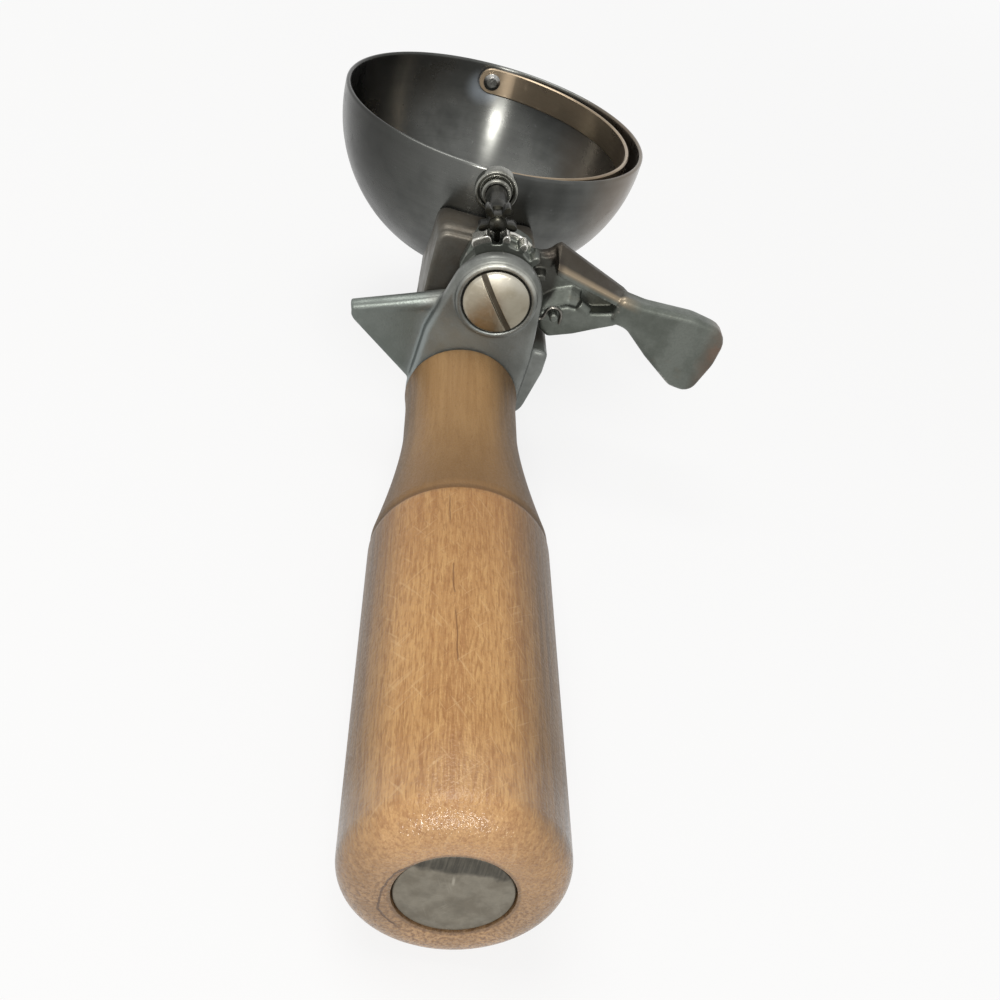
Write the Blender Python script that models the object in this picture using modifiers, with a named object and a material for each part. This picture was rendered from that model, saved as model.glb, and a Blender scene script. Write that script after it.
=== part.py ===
"""Portion scoop: wooden handle, cast frame, geared thumb lever, steel bowl with a turning scraper.

Lengths are in metres. +Y runs along the handle from the butt to the bowl, +Z is the side that the
bowl opens to and +X is the lever's side. The origin is the centre of the end cap's flat face.
"""
import math

import bmesh
import bpy
from mathutils import Matrix, Vector

MM = 0.001

# Gaps
SEAT_GAP = 0.3 * MM
PIVOT_CLEARANCE = 0.08 * MM

# Handle
HANDLE_LENGTH = 109.2 * MM
GRIP_RADIUS = 14.4 * MM
BUTT_ROUNDING = 4.6 * MM
CREASE_FROM_BUTT = 61.4 * MM
CREASE_DEPTH = 0.2 * MM
CREASE_WIDTH = 1.2 * MM
SHOULDER_START = 63.9 * MM
SHOULDER_LENGTH = 29.5 * MM
SHOULDER_CURVE = 1.5
NECK_RADIUS = 10.25 * MM
NECK_FLARE = 0.4 * MM
NECK_FLARE_LENGTH = 7.0 * MM

# Cap nut and tang rod
CAP_RADIUS = 7.4 * MM
CAP_THICKNESS = 2.4 * MM
CAP_FLAT_RADIUS = 5.7 * MM
CAP_DOME = 0.45 * MM
CAP_BARREL_RADIUS = 4.3 * MM
CAP_BARREL_LENGTH = 6.0 * MM
CAP_ROOM = 0.35 * MM
ROD_RADIUS = 2.6 * MM
ROD_IN_CAP = 5.0 * MM
ROD_IN_FRAME = 7.0 * MM

# Where the lever's screw stands over the handle's line
SCREW_X = 1.3 * MM
SCREW_Z = 21.7 * MM

# Frame casting, front to rear
PLATE_THICKNESS = 3.0 * MM
SPRING_ROOM = 3.6 * MM
SECTOR_THICKNESS = 3.2 * MM
WEB_THICKNESS = 2.4 * MM
REAR_WALL_THICKNESS = 3.2 * MM
PLATE_NECK_RADIUS = 10.6 * MM
PLATE_WAIST_RADIUS = 10.4 * MM
PLATE_WAIST_X = 0.4 * MM
PLATE_WAIST_Z = 11.0 * MM
PLATE_TOP_RADIUS = 8.5 * MM
PLATE_TOP_DROP = 0.2 * MM
BOSS_RADIUS = 7.4 * MM
BOSS_HEIGHT = 1.2 * MM
FLOOR_TOP_Z = 11.0 * MM
FLOOR_BOTTOM_Z = -8.6 * MM
FLOOR_HALF_WIDTH = 9.4 * MM
LUG_X = 14.0 * MM
LUG_TOP_Z = 12.4 * MM
REAR_WALL_HALF_WIDTH = 10.6 * MM
REAR_WALL_RIGHT_SHARE = 0.86
TAB_TIP_X = -25.4 * MM
TAB_TIP_Z = 12.2 * MM
TAB_TIP_ROUNDING = 1.9 * MM
TAB_ROOT_X = -6.5 * MM
TAB_ROOT_DROP = 1.9 * MM
TAB_FOOT_X = -10.3 * MM
TAB_FOOT_Z = 0.2 * MM
TAB_THICKNESS = 3.0 * MM
TAB_BEAD_RADIUS = 1.9 * MM
SHANK_WIDTH = 19.2 * MM
SHANK_TOP_Z = 26.3 * MM
CASTING_ROUNDING = 0.8 * MM

# Pivot screw
HEAD_RADIUS = 5.85 * MM
HEAD_DOME = 1.1 * MM
HEAD_EDGE = 1.3 * MM
HEAD_RECESS = 1.0 * MM
HEAD_ROOM = 0.45 * MM
SCREW_RADIUS = 2.6 * MM
SLOT_WIDTH = 1.1 * MM
SLOT_DEPTH = 1.2 * MM
SLOT_ANGLE = math.radians(54.0)

# Bowl
BOWL_RADIUS = 31.9 * MM
BOWL_WALL = 0.9 * MM
BOWL_COLLAR = 1.8 * MM
BOWL_X = -1.2 * MM
BOWL_FROM_WALL = 6.7 * MM
RIM_Z = 36.2 * MM

# Gears: the pinion's teeth, and the teeth that a full circle of the sector would hold
PINION_TEETH = 5
SECTOR_TEETH = 15
TOOTH_HEIGHT = 0.78 * MM
ROOT_CLEARANCE = 0.28 * MM
SECTOR_TOOTH_WIDTH = 1.45 * MM
PINION_LEAF_WIDTH = 1.25 * MM

# Lever; its outlines are drawn on a grid round the screw
LEVER_GRID = 1.0 * MM
HUB_RADIUS = 3.7 * MM
LEVER_DISC_RADIUS = 6.6 * MM
PADDLE_THICKNESS = 4.5 * MM
FLANGE_THICKNESS = 1.7 * MM
FLANGE_DEPTH = 5.5 * MM
POST_RADIUS = 0.8 * MM
POST_X = 12.1 * LEVER_GRID
POST_Z = -3.6 * LEVER_GRID
POST_LENGTH = 2.9 * MM
LEVER_ROUNDING = 1.1 * MM
WEB_LAP = 0.2 * MM

# Return spring
WIRE_RADIUS = 0.4 * MM
SPRING_RADIUS = 5.0 * MM
SPRING_TURNS = 1.75
SPRING_PITCH = 1.29 * MM
SPRING_LEG_IN_FLOOR = 3.2 * MM
CURL_POINTS = 10

# Scraper
SHAFT_RADIUS = 2.0 * MM
SHAFT_Z = 32.8 * MM
JOURNAL_RADIUS = 1.45 * MM
SHAFT_NOSE = 0.6 * MM
BLADE_WIDTH = 5.8 * MM
BLADE_THICKNESS = 0.8 * MM
BLADE_CLEARANCE = 0.35 * MM
BLADE_PIN_RADIUS = 1.1 * MM
EYE_INSET = 1.4 * MM
RIVETED_HEAD_RADIUS = 1.9 * MM
RIVETED_HEAD_HEIGHT = 0.7 * MM

# Bushing and rivets
BUSHING_RADIUS = 4.1 * MM
BUSHING_LIP = 0.75 * MM
BUSHING_GROOVE = 0.7 * MM
BUSHING_NOSE_RADIUS = 2.9 * MM
BUSHING_NOSE = 1.1 * MM
BUSHING_FLANGE = 1.6 * MM
BUSHING_BARREL_RADIUS = 2.6 * MM
FAR_HEAD_RADIUS = 2.4 * MM
FAR_HEAD_HEIGHT = 1.2 * MM
BOWL_RIVET_RADIUS = 1.6 * MM
BOWL_RIVET_LENGTH = 4.5 * MM
BOWL_RIVET_SPREAD = math.radians(9.5)
BOWL_RIVET_DROP = math.radians(32.0)

# Facets
HANDLE_STEPS = 48
BOWL_STEPS = 56
BOWL_ARC_STEPS = 13
ROUND_STEPS = 28
CORNER_STEPS = 4

# Places that follow from the sizes
PLATE_Y = HANDLE_LENGTH + SEAT_GAP
PLATE_REAR_Y = PLATE_Y + PLATE_THICKNESS
LEVER_Y = PLATE_REAR_Y + SEAT_GAP
SECTOR_Y = LEVER_Y + SPRING_ROOM
SECTOR_REAR_Y = SECTOR_Y + SECTOR_THICKNESS
WEB_Y = SECTOR_REAR_Y + SEAT_GAP
LEVER_REAR_Y = WEB_Y + WEB_THICKNESS
REAR_WALL_Y = LEVER_REAR_Y + SEAT_GAP
REAR_WALL_REAR_Y = REAR_WALL_Y + REAR_WALL_THICKNESS
BOWL_Y = REAR_WALL_REAR_Y + BOWL_FROM_WALL + BOWL_RADIUS
BOWL_Z = RIM_Z - BOWL_COLLAR
SHAFT_X = BOWL_X
SHAFT_DROP = BOWL_Z - SHAFT_Z
CENTRE_DISTANCE = math.hypot(SHAFT_X - SCREW_X, SHAFT_Z - SCREW_Z)
SHAFT_BEARING = math.atan2(SHAFT_X - SCREW_X, SHAFT_Z - SCREW_Z)
SECTOR_PITCH_RADIUS = CENTRE_DISTANCE * SECTOR_TEETH / (SECTOR_TEETH + PINION_TEETH)
PINION_PITCH_RADIUS = CENTRE_DISTANCE - SECTOR_PITCH_RADIUS
SECTOR_TIP_RADIUS = SECTOR_PITCH_RADIUS + TOOTH_HEIGHT
PINION_TIP_RADIUS = PINION_PITCH_RADIUS + TOOTH_HEIGHT
SECTOR_ROOT_RADIUS = CENTRE_DISTANCE - PINION_TIP_RADIUS - ROOT_CLEARANCE
PINION_ROOT_RADIUS = CENTRE_DISTANCE - SECTOR_TIP_RADIUS - ROOT_CLEARANCE
BOWL_INNER_RADIUS = BOWL_RADIUS - BOWL_WALL
SHAFT_SWEEP_RADIUS = CENTRE_DISTANCE - SHAFT_RADIUS - SEAT_GAP


for old in list(bpy.data.objects):
    bpy.data.objects.remove(old, do_unlink=True)

parts = bpy.data.collections.new("portion_scoop")
cutters = bpy.data.collections.new("cutters")
bpy.context.scene.collection.children.link(parts)
bpy.context.scene.collection.children.link(cutters)


def make_material(name, colour, roughness, metallic):
    material = bpy.data.materials.new(name)
    material.use_nodes = True
    shader = material.node_tree.nodes["Principled BSDF"]
    shader.inputs["Base Color"].default_value = (*colour, 1.0)
    shader.inputs["Roughness"].default_value = roughness
    shader.inputs["Metallic"].default_value = metallic
    return material


WOOD = make_material("varnished_wood", (0.48, 0.27, 0.10), 0.42, 0.0)
CAST = make_material("cast_aluminium", (0.17, 0.18, 0.17), 0.45, 0.9)
LEVER_CAST = make_material("lever_casting", (0.19, 0.20, 0.18), 0.42, 0.9)
SCREW_STEEL = make_material("screw_nickel", (0.42, 0.39, 0.33), 0.32, 1.0)
CAP_STEEL = make_material("cap_steel", (0.32, 0.31, 0.27), 0.4, 1.0)
ROD_STEEL = make_material("rod_steel", (0.30, 0.30, 0.30), 0.45, 1.0)
BOWL_STEEL = make_material("bowl_steel", (0.16, 0.16, 0.15), 0.3, 1.0)
BLADE_STEEL = make_material("blade_steel", (0.28, 0.25, 0.20), 0.32, 1.0)
SHAFT_STEEL = make_material("shaft_steel", (0.14, 0.14, 0.12), 0.35, 1.0)
BUSHING_STEEL = make_material("bushing_nickel", (0.36, 0.36, 0.33), 0.25, 1.0)
SPRING_STEEL = make_material("spring_steel", (0.22, 0.21, 0.19), 0.35, 1.0)
RIVET_STEEL = make_material("rivet_steel", (0.34, 0.33, 0.30), 0.3, 1.0)


def add_object(name, mesh, collection, material=None):
    thing = bpy.data.objects.new(name, mesh)
    collection.objects.link(thing)
    if material is not None:
        mesh.materials.append(material)
    if collection is cutters:
        thing.hide_render = True
        thing.display_type = "WIRE"
    return thing


def finish_mesh(mesh, sharp=math.radians(35.0)):
    mesh.shade_smooth()
    mesh.set_sharp_from_angle(angle=sharp)


def frozen(thing, name, collection, material=None):
    """The evaluated shape of a curve or a modified object, as a mesh object of its own."""
    graph = bpy.context.evaluated_depsgraph_get()
    graph.update()
    mesh = bpy.data.meshes.new_from_object(thing.evaluated_get(graph))
    mesh.materials.clear()
    work = bmesh.new()
    work.from_mesh(mesh)
    bmesh.ops.remove_doubles(work, verts=work.verts, dist=0.002 * MM)
    bmesh.ops.dissolve_degenerate(work, edges=work.edges, dist=0.002 * MM)
    bmesh.ops.recalc_face_normals(work, faces=work.faces)
    work.to_mesh(mesh)
    work.free()
    mesh.name = name
    place = thing.matrix_world.copy()
    bpy.data.objects.remove(thing, do_unlink=True)
    solid = add_object(name, mesh, collection, material)
    solid.matrix_world = place
    finish_mesh(mesh)
    return solid


def turned(name, profile, steps, origin, collection, material=None):
    """A turned solid round a line along Y. The profile is (radius, distance towards the bowl)."""
    mesh = bpy.data.meshes.new(name)
    work = bmesh.new()
    points = [work.verts.new((radius, 0.0, along)) for radius, along in profile]
    for first, second in zip(points, points[1:]):
        work.edges.new((first, second))
    if profile[0][0] > 0.0:
        work.edges.new((points[-1], points[0]))
    work.to_mesh(mesh)
    work.free()
    thing = add_object(name, mesh, collection, material)
    thing.location = origin
    thing.rotation_euler = (math.radians(-90.0), 0.0, 0.0)
    screw = thing.modifiers.new("Turn", "SCREW")
    screw.axis = "Z"
    screw.angle = math.tau
    screw.screw_offset = 0.0
    screw.steps = steps
    screw.render_steps = steps
    screw.use_merge_vertices = True
    screw.merge_threshold = 0.001 * MM
    screw.use_smooth_shade = True
    bpy.context.view_layer.update()
    return thing


def cylinder(name, radius, y0, y1, x, z, collection, material=None, steps=ROUND_STEPS):
    mesh = bpy.data.meshes.new(name)
    work = bmesh.new()
    turn = Matrix.Rotation(math.radians(-90.0), 4, "X")
    bmesh.ops.create_cone(
        work, cap_ends=True, segments=steps, radius1=radius, radius2=radius, depth=y1 - y0, matrix=turn)
    work.to_mesh(mesh)
    work.free()
    thing = add_object(name, mesh, collection, material)
    thing.location = (x, (y0 + y1) / 2, z)
    bpy.context.view_layer.update()
    return thing


def bar(name, start, end, radius_start, radius_end, collection, steps=16):
    """A round bar between two points."""
    mesh = bpy.data.meshes.new(name)
    work = bmesh.new()
    along = end - start
    turn = along.to_track_quat("Z", "Y").to_matrix().to_4x4()
    middle = Matrix.Translation((start + end) / 2)
    bmesh.ops.create_cone(
        work, cap_ends=True, segments=steps, radius1=radius_start, radius2=radius_end,
        depth=along.length, matrix=middle @ turn)
    work.to_mesh(mesh)
    work.free()
    return add_object(name, mesh, collection)


def bowl_room(name):
    """The space that the bowl takes up, with a gap round it: a half ball and its straight collar."""
    radius = BOWL_RADIUS + SEAT_GAP
    profile = [(0.0, BOWL_COLLAR + 2.0 * MM), (radius, BOWL_COLLAR + 2.0 * MM)]
    for step in range(21):
        angle = math.pi / 2 * step / 20
        profile.append((radius * math.cos(angle), -radius * math.sin(angle)))
    mesh = bpy.data.meshes.new(name)
    work = bmesh.new()
    points = [work.verts.new((out, 0.0, up)) for out, up in profile]
    for first, second in zip(points, points[1:]):
        work.edges.new((first, second))
    work.to_mesh(mesh)
    work.free()
    thing = add_object(name, mesh, cutters)
    thing.location = (BOWL_X, BOWL_Y, BOWL_Z)
    spin_upright(thing, 64)
    return thing


def spin_upright(thing, steps):
    """Turn a profile in X and Z round the object's own Z axis."""
    screw = thing.modifiers.new("Turn", "SCREW")
    screw.axis = "Z"
    screw.steps = steps
    screw.render_steps = steps
    screw.use_merge_vertices = True
    screw.merge_threshold = 0.001 * MM
    screw.use_smooth_shade = True
    bpy.context.view_layer.update()


def rounded(corners, steps=CORNER_STEPS):
    """An outline through (x, z, radius) corners, each one filleted by its own radius."""
    outline = []
    for index, (x, z, radius) in enumerate(corners):
        here = Vector((x, z))
        before = Vector(corners[index - 1][:2]) - here
        after = Vector(corners[(index + 1) % len(corners)][:2]) - here
        half = before.angle(after) / 2
        if radius <= 0.0 or half > math.radians(88.0):
            outline.append(here)
            continue
        reach = min(radius / math.tan(half), before.length * 0.49, after.length * 0.49)
        radius = reach * math.tan(half)
        towards = (before.normalized() + after.normalized()).normalized()
        centre = here + towards * (radius / math.sin(half))
        start = here + before.normalized() * reach - centre
        end = here + after.normalized() * reach - centre
        first = math.atan2(start.y, start.x)
        sweep = math.atan2(end.y, end.x) - first
        sweep = (sweep + math.pi) % math.tau - math.pi
        for step in range(steps + 1):
            angle = first + sweep * step / steps
            outline.append(centre + Vector((math.cos(angle), math.sin(angle))) * radius)
    return [(point.x, point.y) for point in outline]


def hull_of_circles(circles, steps=40):
    """The outline of a band stretched round circles (x, z, radius)."""
    outline = []
    for step in range(steps):
        angle = math.tau * step / steps
        way = Vector((math.cos(angle), math.sin(angle)))
        reach = [way.dot(Vector((x, z))) + radius for x, z, radius in circles]
        x, z, radius = circles[reach.index(max(reach))]
        outline.append((x + way.x * radius, z + way.y * radius))
    return outline


def plate(name, outline, y0, y1, edge, collection, material=None, resolution=1):
    """A flat outline in X and Z between two heights along Y, with rounded edges."""
    curve = bpy.data.curves.new(name, "CURVE")
    curve.dimensions = "2D"
    curve.fill_mode = "BOTH"
    curve.extrude = (y1 - y0) / 2 - edge
    if edge > 0.0:
        curve.bevel_depth = edge
        curve.bevel_resolution = resolution
        curve.offset = -edge
    spline = curve.splines.new("POLY")
    spline.points.add(len(outline) - 1)
    for point, (x, z) in zip(spline.points, outline):
        point.co = (x, z, 0.0, 1.0)
    spline.use_cyclic_u = True
    thing = bpy.data.objects.new(name + "_outline", curve)
    collection.objects.link(thing)
    thing.rotation_euler = (math.radians(90.0), 0.0, 0.0)
    thing.location = (0.0, (y0 + y1) / 2, 0.0)
    bpy.context.view_layer.update()
    return frozen(thing, name, collection, material)


def combine(thing, other, operation):
    modifier = thing.modifiers.new(other.name, "BOOLEAN")
    modifier.operation = operation
    modifier.solver = "EXACT"
    modifier.object = other
    return thing


def around_screw(points):
    return [(SCREW_X + x, SCREW_Z + z) for x, z in points]


def on_grid(corners, steps=CORNER_STEPS):
    """An outline of filleted corners drawn on the lever's grid, set round the screw."""
    scaled = [(x * LEVER_GRID, z * LEVER_GRID, radius * LEVER_GRID) for x, z, radius in corners]
    return around_screw(rounded(scaled, steps))


def polar(radius, angle):
    """A point round the screw; the angle runs from straight up towards the lever's side."""
    return (radius * math.sin(angle), radius * math.cos(angle))


def handle_radius(along):
    """The turned outside of the handle between its rounded butt and its end."""
    if along < CREASE_FROM_BUTT:
        return GRIP_RADIUS
    if along < SHOULDER_START:
        return GRIP_RADIUS - CREASE_DEPTH * min(1.0, (along - CREASE_FROM_BUTT) / CREASE_WIDTH)
    share = min(1.0, (along - SHOULDER_START) / SHOULDER_LENGTH)
    radius = NECK_RADIUS + (GRIP_RADIUS - CREASE_DEPTH - NECK_RADIUS) * (1.0 - share) ** SHOULDER_CURVE
    flare = max(0.0, 1.0 - (HANDLE_LENGTH - along) / NECK_FLARE_LENGTH)
    return radius + NECK_FLARE * flare ** 2


def make_handle():
    counterbore = CAP_RADIUS + CAP_ROOM
    counterbore_depth = CAP_THICKNESS + SEAT_GAP
    barrel_bore = CAP_BARREL_RADIUS + SEAT_GAP
    barrel_depth = counterbore_depth + CAP_BARREL_LENGTH
    rod_bore = ROD_RADIUS + SEAT_GAP
    outside = []
    for step in range(9):
        along = HANDLE_LENGTH - NECK_FLARE_LENGTH * step / 4
        if along > SHOULDER_START + SHOULDER_LENGTH:
            outside.append((handle_radius(along), along))
    for step in range(12):
        along = SHOULDER_START + SHOULDER_LENGTH * (1.0 - step / 11)
        outside.append((handle_radius(along), along))
    outside.append((handle_radius(CREASE_FROM_BUTT + CREASE_WIDTH), CREASE_FROM_BUTT + CREASE_WIDTH))
    outside.append((GRIP_RADIUS, CREASE_FROM_BUTT))
    outside.append((GRIP_RADIUS, (CREASE_FROM_BUTT + BUTT_ROUNDING) / 2))
    for step in range(7):
        angle = math.pi / 2 * step / 6
        inset = BUTT_ROUNDING * (1.0 - math.cos(angle))
        outside.append((GRIP_RADIUS - inset, BUTT_ROUNDING * (1.0 - math.sin(angle))))
    inside = [
        (counterbore, 0.0),
        (counterbore, counterbore_depth),
        (barrel_bore, counterbore_depth),
        (barrel_bore, barrel_depth),
        (rod_bore, barrel_depth),
        (rod_bore, HANDLE_LENGTH),
    ]
    return turned("handle", outside + inside, HANDLE_STEPS, (0.0, 0.0, 0.0), parts, WOOD)


def make_end_cap():
    bore = ROD_RADIUS + SEAT_GAP
    end = CAP_THICKNESS + CAP_BARREL_LENGTH
    profile = [
        (bore, end),
        (CAP_BARREL_RADIUS, end),
        (CAP_BARREL_RADIUS, CAP_THICKNESS),
        (CAP_RADIUS, CAP_THICKNESS),
        (CAP_RADIUS, CAP_DOME * 1.6),
        (CAP_RADIUS - CAP_DOME, CAP_DOME * 0.7),
        (CAP_FLAT_RADIUS, 0.0),
        (0.0, 0.0),
        (0.0, end - ROD_IN_CAP - SEAT_GAP),
        (bore, end - ROD_IN_CAP - SEAT_GAP),
    ]
    mesh = bpy.data.meshes.new("end_cap")
    work = bmesh.new()
    points = [work.verts.new((radius, 0.0, along)) for radius, along in profile]
    for index in range(7):
        work.edges.new((points[index], points[index + 1]))
    work.edges.new((points[8], points[9]))
    work.edges.new((points[9], points[0]))
    work.to_mesh(mesh)
    work.free()
    thing = add_object("end_cap", mesh, parts, CAP_STEEL)
    thing.rotation_euler = (math.radians(-90.0), 0.0, 0.0)
    spin_upright(thing, 40)
    return thing


def make_tang_rod():
    start = CAP_THICKNESS + CAP_BARREL_LENGTH - ROD_IN_CAP
    end = PLATE_Y + ROD_IN_FRAME
    return cylinder("tang_rod", ROD_RADIUS, start, end, 0.0, 0.0, parts, ROD_STEEL, 24)


def make_frame():
    neck = (0.0, 0.0, PLATE_NECK_RADIUS)
    waist = (PLATE_WAIST_X, PLATE_WAIST_Z, PLATE_WAIST_RADIUS)
    top = (SCREW_X, SCREW_Z - PLATE_TOP_DROP, PLATE_TOP_RADIUS)
    frame = plate(
        "frame_casting", hull_of_circles([neck, waist, top], 56), PLATE_Y, PLATE_REAR_Y,
        CASTING_ROUNDING, parts, CAST)

    boss = cylinder(
        "boss", BOSS_RADIUS, PLATE_Y - BOSS_HEIGHT, PLATE_Y + PLATE_THICKNESS / 2, SCREW_X, SCREW_Z,
        cutters, steps=40)
    combine(frame, boss, "UNION")

    side = FLOOR_HALF_WIDTH
    floor_outline = rounded([
        (-side, FLOOR_TOP_Z, 1.5 * MM),
        (-side, FLOOR_BOTTOM_Z * 0.4, 5.0 * MM),
        (-side * 0.45, FLOOR_BOTTOM_Z, 4.0 * MM),
        (side * 0.45, FLOOR_BOTTOM_Z, 4.0 * MM),
        (side * 1.3, FLOOR_BOTTOM_Z * 0.15, 4.0 * MM),
        (LUG_X, LUG_TOP_Z * 0.62, 3.0 * MM),
        (LUG_X, LUG_TOP_Z, 1.2 * MM),
        (side, LUG_TOP_Z, 1.2 * MM),
        (side * 0.9, FLOOR_TOP_Z, 0.6 * MM),
    ])
    floor = plate("floor", floor_outline, PLATE_Y + PLATE_THICKNESS / 2, REAR_WALL_Y + 1.0 * MM,
                  CASTING_ROUNDING, cutters)
    combine(frame, floor, "UNION")

    wall = REAR_WALL_HALF_WIDTH
    wall_outline = rounded([
        (-wall, FLOOR_BOTTOM_Z * 0.5, 4.0 * MM),
        (wall * REAR_WALL_RIGHT_SHARE, FLOOR_BOTTOM_Z * 0.5, 4.0 * MM),
        (wall * REAR_WALL_RIGHT_SHARE, SHANK_TOP_Z, 3.0 * MM),
        (-wall, SHANK_TOP_Z, 2.0 * MM),
    ])
    wall_plate = plate("rear_wall", wall_outline, REAR_WALL_Y, REAR_WALL_REAR_Y, 0.6 * MM, cutters)
    combine(frame, wall_plate, "UNION")

    tab_front = PLATE_Y + PLATE_THICKNESS / 2 + 0.4 * MM
    tab_outline = rounded([
        (TAB_TIP_X, TAB_TIP_Z, TAB_TIP_ROUNDING),
        (TAB_ROOT_X, SCREW_Z - TAB_ROOT_DROP, 1.0 * MM),
        (TAB_ROOT_X, TAB_FOOT_Z - 1.2 * MM, 1.0 * MM),
        (TAB_FOOT_X, TAB_FOOT_Z, 1.0 * MM),
    ])
    tab = plate("tab", tab_outline, tab_front, tab_front + TAB_THICKNESS, 0.6 * MM, cutters)
    combine(frame, tab, "UNION")
    bead_y = tab_front + TAB_THICKNESS / 2
    bead_start = Vector((TAB_TIP_X + 1.9 * MM, bead_y, TAB_TIP_Z - 0.2 * MM))
    bead_end = Vector((TAB_ROOT_X - 0.7 * MM, bead_y, SCREW_Z - TAB_ROOT_DROP - 2.2 * MM))
    bead = bar("tab_bead", bead_start, bead_end, TAB_BEAD_RADIUS * 0.8, TAB_BEAD_RADIUS, cutters)
    combine(frame, bead, "UNION")

    shank_profile = rounded([
        (REAR_WALL_Y + 0.7 * MM, SHANK_TOP_Z + 0.8 * MM, 2.4 * MM),
        (BOWL_Y - BOWL_RADIUS + 4.0 * MM, SHANK_TOP_Z - 0.4 * MM, 0.0),
        (BOWL_Y - BOWL_RADIUS * 0.45, BOWL_Z - BOWL_RADIUS * 0.80, 0.0),
        (BOWL_Y - BOWL_RADIUS * 0.60, BOWL_Z - BOWL_RADIUS * 0.86, 2.4 * MM),
        (REAR_WALL_REAR_Y + 8.0 * MM, FLOOR_BOTTOM_Z * 0.05, 9.0 * MM),
        (REAR_WALL_Y + 0.7 * MM, FLOOR_BOTTOM_Z * 0.6, 2.4 * MM),
    ])
    turned_profile = [(-along, up) for along, up in shank_profile]
    shank = plate("shank", turned_profile, -SHANK_WIDTH / 2, SHANK_WIDTH / 2, 2.0 * MM, cutters,
                  resolution=2)
    shank.matrix_world = (
        Matrix.Translation((BOWL_X + 0.1 * MM, 0.0, 0.0))
        @ Matrix.Rotation(math.radians(-90.0), 4, "Z") @ shank.matrix_world)
    bpy.context.view_layer.update()
    combine(frame, shank, "UNION")

    combine(frame, bowl_room("bowl_room"), "DIFFERENCE")

    head_room = cylinder(
        "head_room", HEAD_RADIUS + HEAD_ROOM, PLATE_Y - BOSS_HEIGHT - 2.0 * MM,
        PLATE_Y - BOSS_HEIGHT + HEAD_RECESS + SEAT_GAP, SCREW_X, SCREW_Z, cutters, steps=40)
    combine(frame, head_room, "DIFFERENCE")
    screw_hole = cylinder(
        "screw_hole", SCREW_RADIUS + SEAT_GAP, PLATE_Y - 3.0 * MM, REAR_WALL_REAR_Y - 0.8 * MM,
        SCREW_X, SCREW_Z, cutters)
    combine(frame, screw_hole, "DIFFERENCE")
    rod_hole = cylinder(
        "rod_hole", ROD_RADIUS + SEAT_GAP, PLATE_Y - 3.0 * MM, PLATE_Y + ROD_IN_FRAME + SEAT_GAP,
        0.0, 0.0, cutters)
    combine(frame, rod_hole, "DIFFERENCE")
    spring_y = spring_front_y()
    leg_hole = bar(
        "leg_hole",
        Vector((SCREW_X + SPRING_RADIUS, spring_y, FLOOR_TOP_Z - SPRING_LEG_IN_FLOOR - SEAT_GAP)),
        Vector((SCREW_X + SPRING_RADIUS, spring_y, FLOOR_TOP_Z + 3.0 * MM)),
        WIRE_RADIUS + SEAT_GAP, WIRE_RADIUS + SEAT_GAP, cutters, 12)
    combine(frame, leg_hole, "DIFFERENCE")
    for side_name, way in (("left", -1.0), ("right", 1.0)):
        combine(frame, rivet_bar("rivet_room_" + side_name, way, SEAT_GAP, 2.0 * MM, cutters),
                "DIFFERENCE")
    return frame


def rivet_bar(name, way, margin, extra, collection, material=None):
    """A rivet square to the bowl's wall, from the inner face out into the shank."""
    turn = Matrix.Rotation(way * BOWL_RIVET_SPREAD, 4, "Z") @ Matrix.Rotation(BOWL_RIVET_DROP, 4, "X")
    out = turn @ Vector((0.0, -1.0, 0.0))
    centre = Vector((BOWL_X, BOWL_Y, BOWL_Z))
    start = centre + out * (BOWL_INNER_RADIUS + 0.12 * MM - extra)
    end = centre + out * (BOWL_INNER_RADIUS + BOWL_RIVET_LENGTH + margin)
    thing = bar(name, start, end, BOWL_RIVET_RADIUS + margin, BOWL_RIVET_RADIUS + margin, collection, 20)
    if material is not None:
        thing.data.materials.append(material)
    return thing


def make_pivot_screw():
    under = PLATE_Y - BOSS_HEIGHT + HEAD_RECESS
    end = REAR_WALL_REAR_Y - 0.8 * MM - SEAT_GAP
    profile = [
        (0.0, end),
        (SCREW_RADIUS - 0.4 * MM, end),
        (SCREW_RADIUS, end - 0.5 * MM),
        (SCREW_RADIUS, under),
        (HEAD_RADIUS, under),
        (HEAD_RADIUS, under - HEAD_EDGE),
    ]
    for step in range(1, 5):
        share = 1.0 - step / 4
        height = HEAD_DOME * (1.0 - share ** 2)
        profile.append((HEAD_RADIUS * share, under - HEAD_EDGE - height))
    screw = turned("pivot_screw", profile, 36, (SCREW_X, 0.0, SCREW_Z), parts, SCREW_STEEL)

    top = under - HEAD_EDGE - HEAD_DOME
    mesh = bpy.data.meshes.new("screw_slot")
    work = bmesh.new()
    bmesh.ops.create_cube(work, size=1.0)
    bmesh.ops.scale(work, vec=(HEAD_RADIUS * 2.4, SLOT_DEPTH * 2, SLOT_WIDTH), verts=work.verts)
    work.to_mesh(mesh)
    work.free()
    slot = add_object("screw_slot", mesh, cutters)
    slot.location = (SCREW_X, top, SCREW_Z)
    slot.rotation_euler = (0.0, SLOT_ANGLE, 0.0)
    bpy.context.view_layer.update()
    return combine(screw, slot, "DIFFERENCE")


def tooth(root, pitch, tip, width, angle):
    """One tooth as (radius, angle) points: straight flanks to the pitch line, then a rounded tip."""
    half = width / 2 / pitch
    rise = tip - pitch
    flank = [(root, 1.0), (pitch, 1.0), (pitch + rise * 0.58, 0.74), (pitch + rise * 0.9, 0.42), (tip, 0.12)]
    left = [(radius, angle - half * share) for radius, share in flank]
    right = [(radius, angle + half * share) for radius, share in reversed(flank)]
    return left, right


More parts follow.
